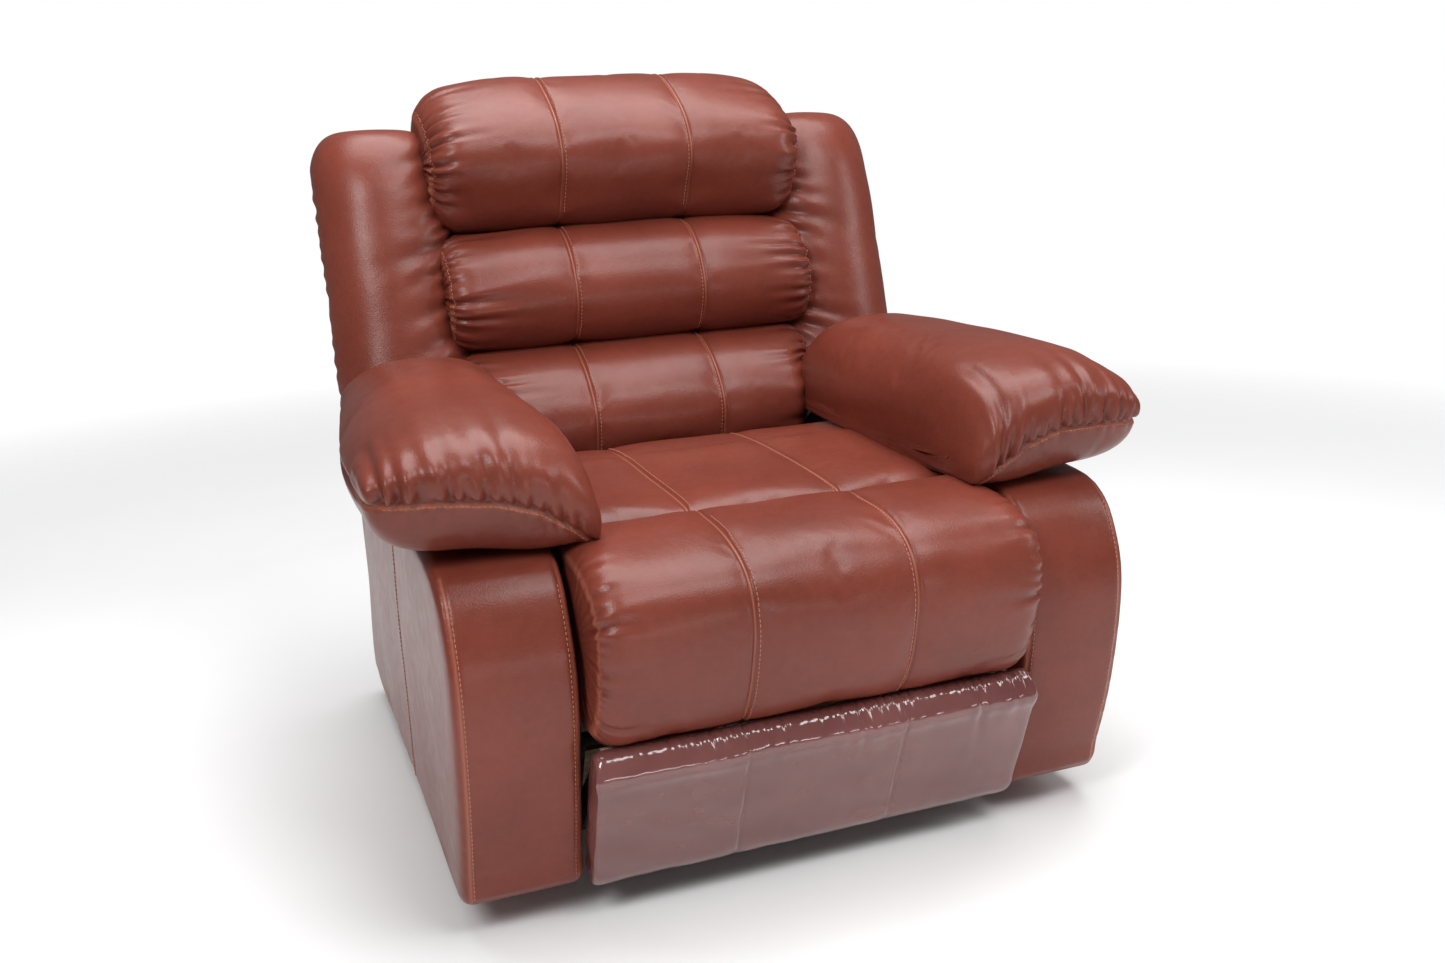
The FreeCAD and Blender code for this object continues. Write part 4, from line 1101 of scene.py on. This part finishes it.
def film_wrap():
    """Clear film round the footrest panel, creased at the top and standing off in a fold below it."""
    piece = bolster("film_wrap", panel_outline(1.4 * MM), 289 * MM, 12 * MM, 140, end_scale=0.93, step=4 * MM)
    subdivide(piece)
    places = points_of(piece)
    near_top = places[:, 2].max() - places[:, 2]
    front_side = smooth_step(-normals_of(piece)[:, 1], 0.0, 0.5)
    relief = gathers(places[:, 0], near_top, film_creases(), slope=0.1) * (0.4 + 0.6 * front_side)
    relief += 0.5 * MM * ripples(places, 9, 0.07) + 0.12 * MM * ripples(places, 19, 0.025)
    relief += seam_relief(near_seams(get_values(piece, "along")), 1.4 * MM, 2.6 * MM, 0.5 * MM, 12 * MM)
    long_ways = places * np.array([1.0, 0.2, 0.2])
    fold = bell(near_top - 30 * MM, 13 * MM) * front_side
    relief += fold * (5.0 + 1.1 * ripples(long_ways, 29, 0.08)) * MM
    carve(piece, np.clip(relief, -1.6 * MM, 6.0 * MM) + 2.0 * MM)
    dress(piece, "footrest", ["protective_film"], slot="film")


footrest_cover()
film_wrap()


# ---------------------------------------------------------------- back cover
def back_panel():
    """Cover over the back of the frame, with one upright seam."""
    low, high = low_high("back_cover")
    rear, bottom = low[1:]
    front, top = high[1:]
    outline = np.array([
        (rear, bottom), (rear + 12 * MM, bottom), (rear + 13 * MM, bottom + 200 * MM),
        (rear + 14 * MM, bottom + 390 * MM), (rear + 30 * MM, bottom + 460 * MM), (front, top - 8 * MM),
        (front - 6 * MM, top), (front - 14 * MM, top - 6 * MM), (rear + 16 * MM, bottom + 455 * MM),
        (rear, bottom + 380 * MM), (rear, bottom + 200 * MM),
    ])
    piece = bolster("back_panel", outline, (high[0] - low[0]) / 2, 6 * MM, 220, end_scale=0.97, seams=(0.0,))
    subdivide(piece)
    from_middle = np.abs(get_values(piece, "along"))
    relief = seam_relief(from_middle, pull=1.0 * MM, reach=14 * MM)
    relief += 1.0 * MM * ripples(points_of(piece), 15, 0.3)
    # Seam painted paler, partly rubbed and partly painted highlight.
    carve(piece, relief, 0.8 * bell(from_middle, 1.3 * MM))
    dress(piece, "back", ["back_cover"])


back_panel()


# ---------------------------------------------------------------- CAD nodes that stay
def finish_nodes():
    """Give every CAD node the material of its slot."""
    slot_of = {part["node"]: part["material_slot"] for part in frame["record"]["subparts"]}
    for node, item in frame["nodes"].items():
        item.data.materials.clear()
        item.data.materials.append(BY_SLOT[slot_of[node]])


finish_nodes()


# ---------------------------------------------------------------- floor, lights, camera
FLOOR_RADIUS = 4.5
FLOOR_RINGS = 24
FLOOR_SIDES = 96


def studio_floor():
    """A round sheet of white paper that fades out towards its edge."""
    verts = [(0.0, 0.0, 0.0)]
    for i in range(1, FLOOR_RINGS + 1):
        reach = FLOOR_RADIUS * i / FLOOR_RINGS
        for k in range(FLOOR_SIDES):
            angle = 2 * math.pi * k / FLOOR_SIDES
            verts.append((reach * math.cos(angle), reach * math.sin(angle), 0.0))
    faces = []
    for k in range(FLOOR_SIDES):
        m = (k + 1) % FLOOR_SIDES
        faces.append((0, 1 + k, 1 + m))
        for i in range(FLOOR_RINGS - 1):
            a, b = 1 + i * FLOOR_SIDES, 1 + (i + 1) * FLOOR_SIDES
            faces.append((a + k, b + k, b + m, a + m))
    floor = new_piece("floor", verts, faces)
    set_values(floor, "reach", np.linalg.norm(np.array(verts)[:, :2], axis=1))
    paper = Nodes("paper")
    tone = paper.ramp(paper.noise(3.0), 0.3, 0.7, 0.0, 1.0)
    shade = paper.mix(tone, (0.90, 0.90, 0.905), (0.92, 0.92, 0.925))
    fade = paper.ramp(paper.attribute("reach"), 1.5, 3.4, 1.0, 0.0)
    paper.link(fade, paper.shader.inputs["Alpha"])
    floor.data.materials.append(paper.finish(shade, Roughness=0.7))


def studio_world(seen=1.0, lighting=0.15):
    """White all round: full white where it is seen directly, and dim as a light."""
    world = bpy.data.worlds.new("studio")
    world.use_nodes = True
    tree = world.node_tree
    background = tree.nodes["Background"]
    background.inputs["Color"].default_value = (1.0, 1.0, 1.0, 1.0)
    rays = tree.nodes.new("ShaderNodeLightPath")
    strength = tree.nodes.new("ShaderNodeMapRange")
    strength.inputs["To Min"].default_value = lighting
    strength.inputs["To Max"].default_value = seen
    tree.links.new(rays.outputs["Is Camera Ray"], strength.inputs["Value"])
    tree.links.new(strength.outputs["Result"], background.inputs["Strength"])
    bpy.context.scene.world = world


def area_light(name, place, target, size_x, size_y, power):
    """A softbox aimed at a point."""
    light = bpy.data.lights.new(name, "AREA")
    light.shape = "RECTANGLE"
    light.size = size_x
    light.size_y = size_y
    light.energy = power
    item = bpy.data.objects.new(name, light)
    item.location = place
    item.rotation_euler = (Vector(target) - Vector(place)).to_track_quat("-Z", "Y").to_euler()
    bpy.context.scene.collection.objects.link(item)


def add_camera(place, azimuth, elevation, tilt, lens):
    """Camera at a place, turned to the right by azimuth, down by elevation and rolled by tilt."""
    data = bpy.data.cameras.new("camera")
    data.sensor_width = 36.0
    data.lens = lens
    camera = bpy.data.objects.new("camera", data)
    bpy.context.scene.collection.objects.link(camera)
    forward = Vector((math.sin(azimuth) * math.cos(elevation), math.cos(azimuth) * math.cos(elevation),
                      -math.sin(elevation)))
    right = Vector((math.cos(azimuth), -math.sin(azimuth), 0.0))
    upward = right.cross(forward)
    tilted_right = math.cos(tilt) * right + math.sin(tilt) * upward
    tilted_up = -math.sin(tilt) * right + math.cos(tilt) * upward
    axes = Matrix((tilted_right, tilted_up, -forward)).transposed()
    camera.matrix_world = Matrix.Translation(place) @ axes.to_4x4()
    bpy.context.scene.camera = camera


CHAIR = (0.0, 0.0, 0.55)
BACK_REST = (0.0, 0.1, 0.75)
FOOTREST = (0.0, -0.4, 0.2)

studio_floor()
studio_world()
area_light("overhead", (0.2, 0.3, 3.4), CHAIR, 3.0, 2.4, 122)
area_light("front_box", (0.7, -2.0, 3.2), BACK_REST, 1.5, 1.0, 38)
area_light("left_box", (-1.9, -1.7, 2.5), BACK_REST, 0.8, 1.4, 46)
area_light("right_box", (2.6, -1.3, 1.9), CHAIR, 0.6, 1.5, 20)
area_light("low_strip", (0.2, -3.0, 0.45), FOOTREST, 1.9, 0.14, 8)
add_camera((-0.6386, -1.8314, 0.9565), math.radians(20.296), math.radians(15.322), math.radians(-2.06),
           34.16)
bpy.context.scene.view_settings.view_transform = "Standard"
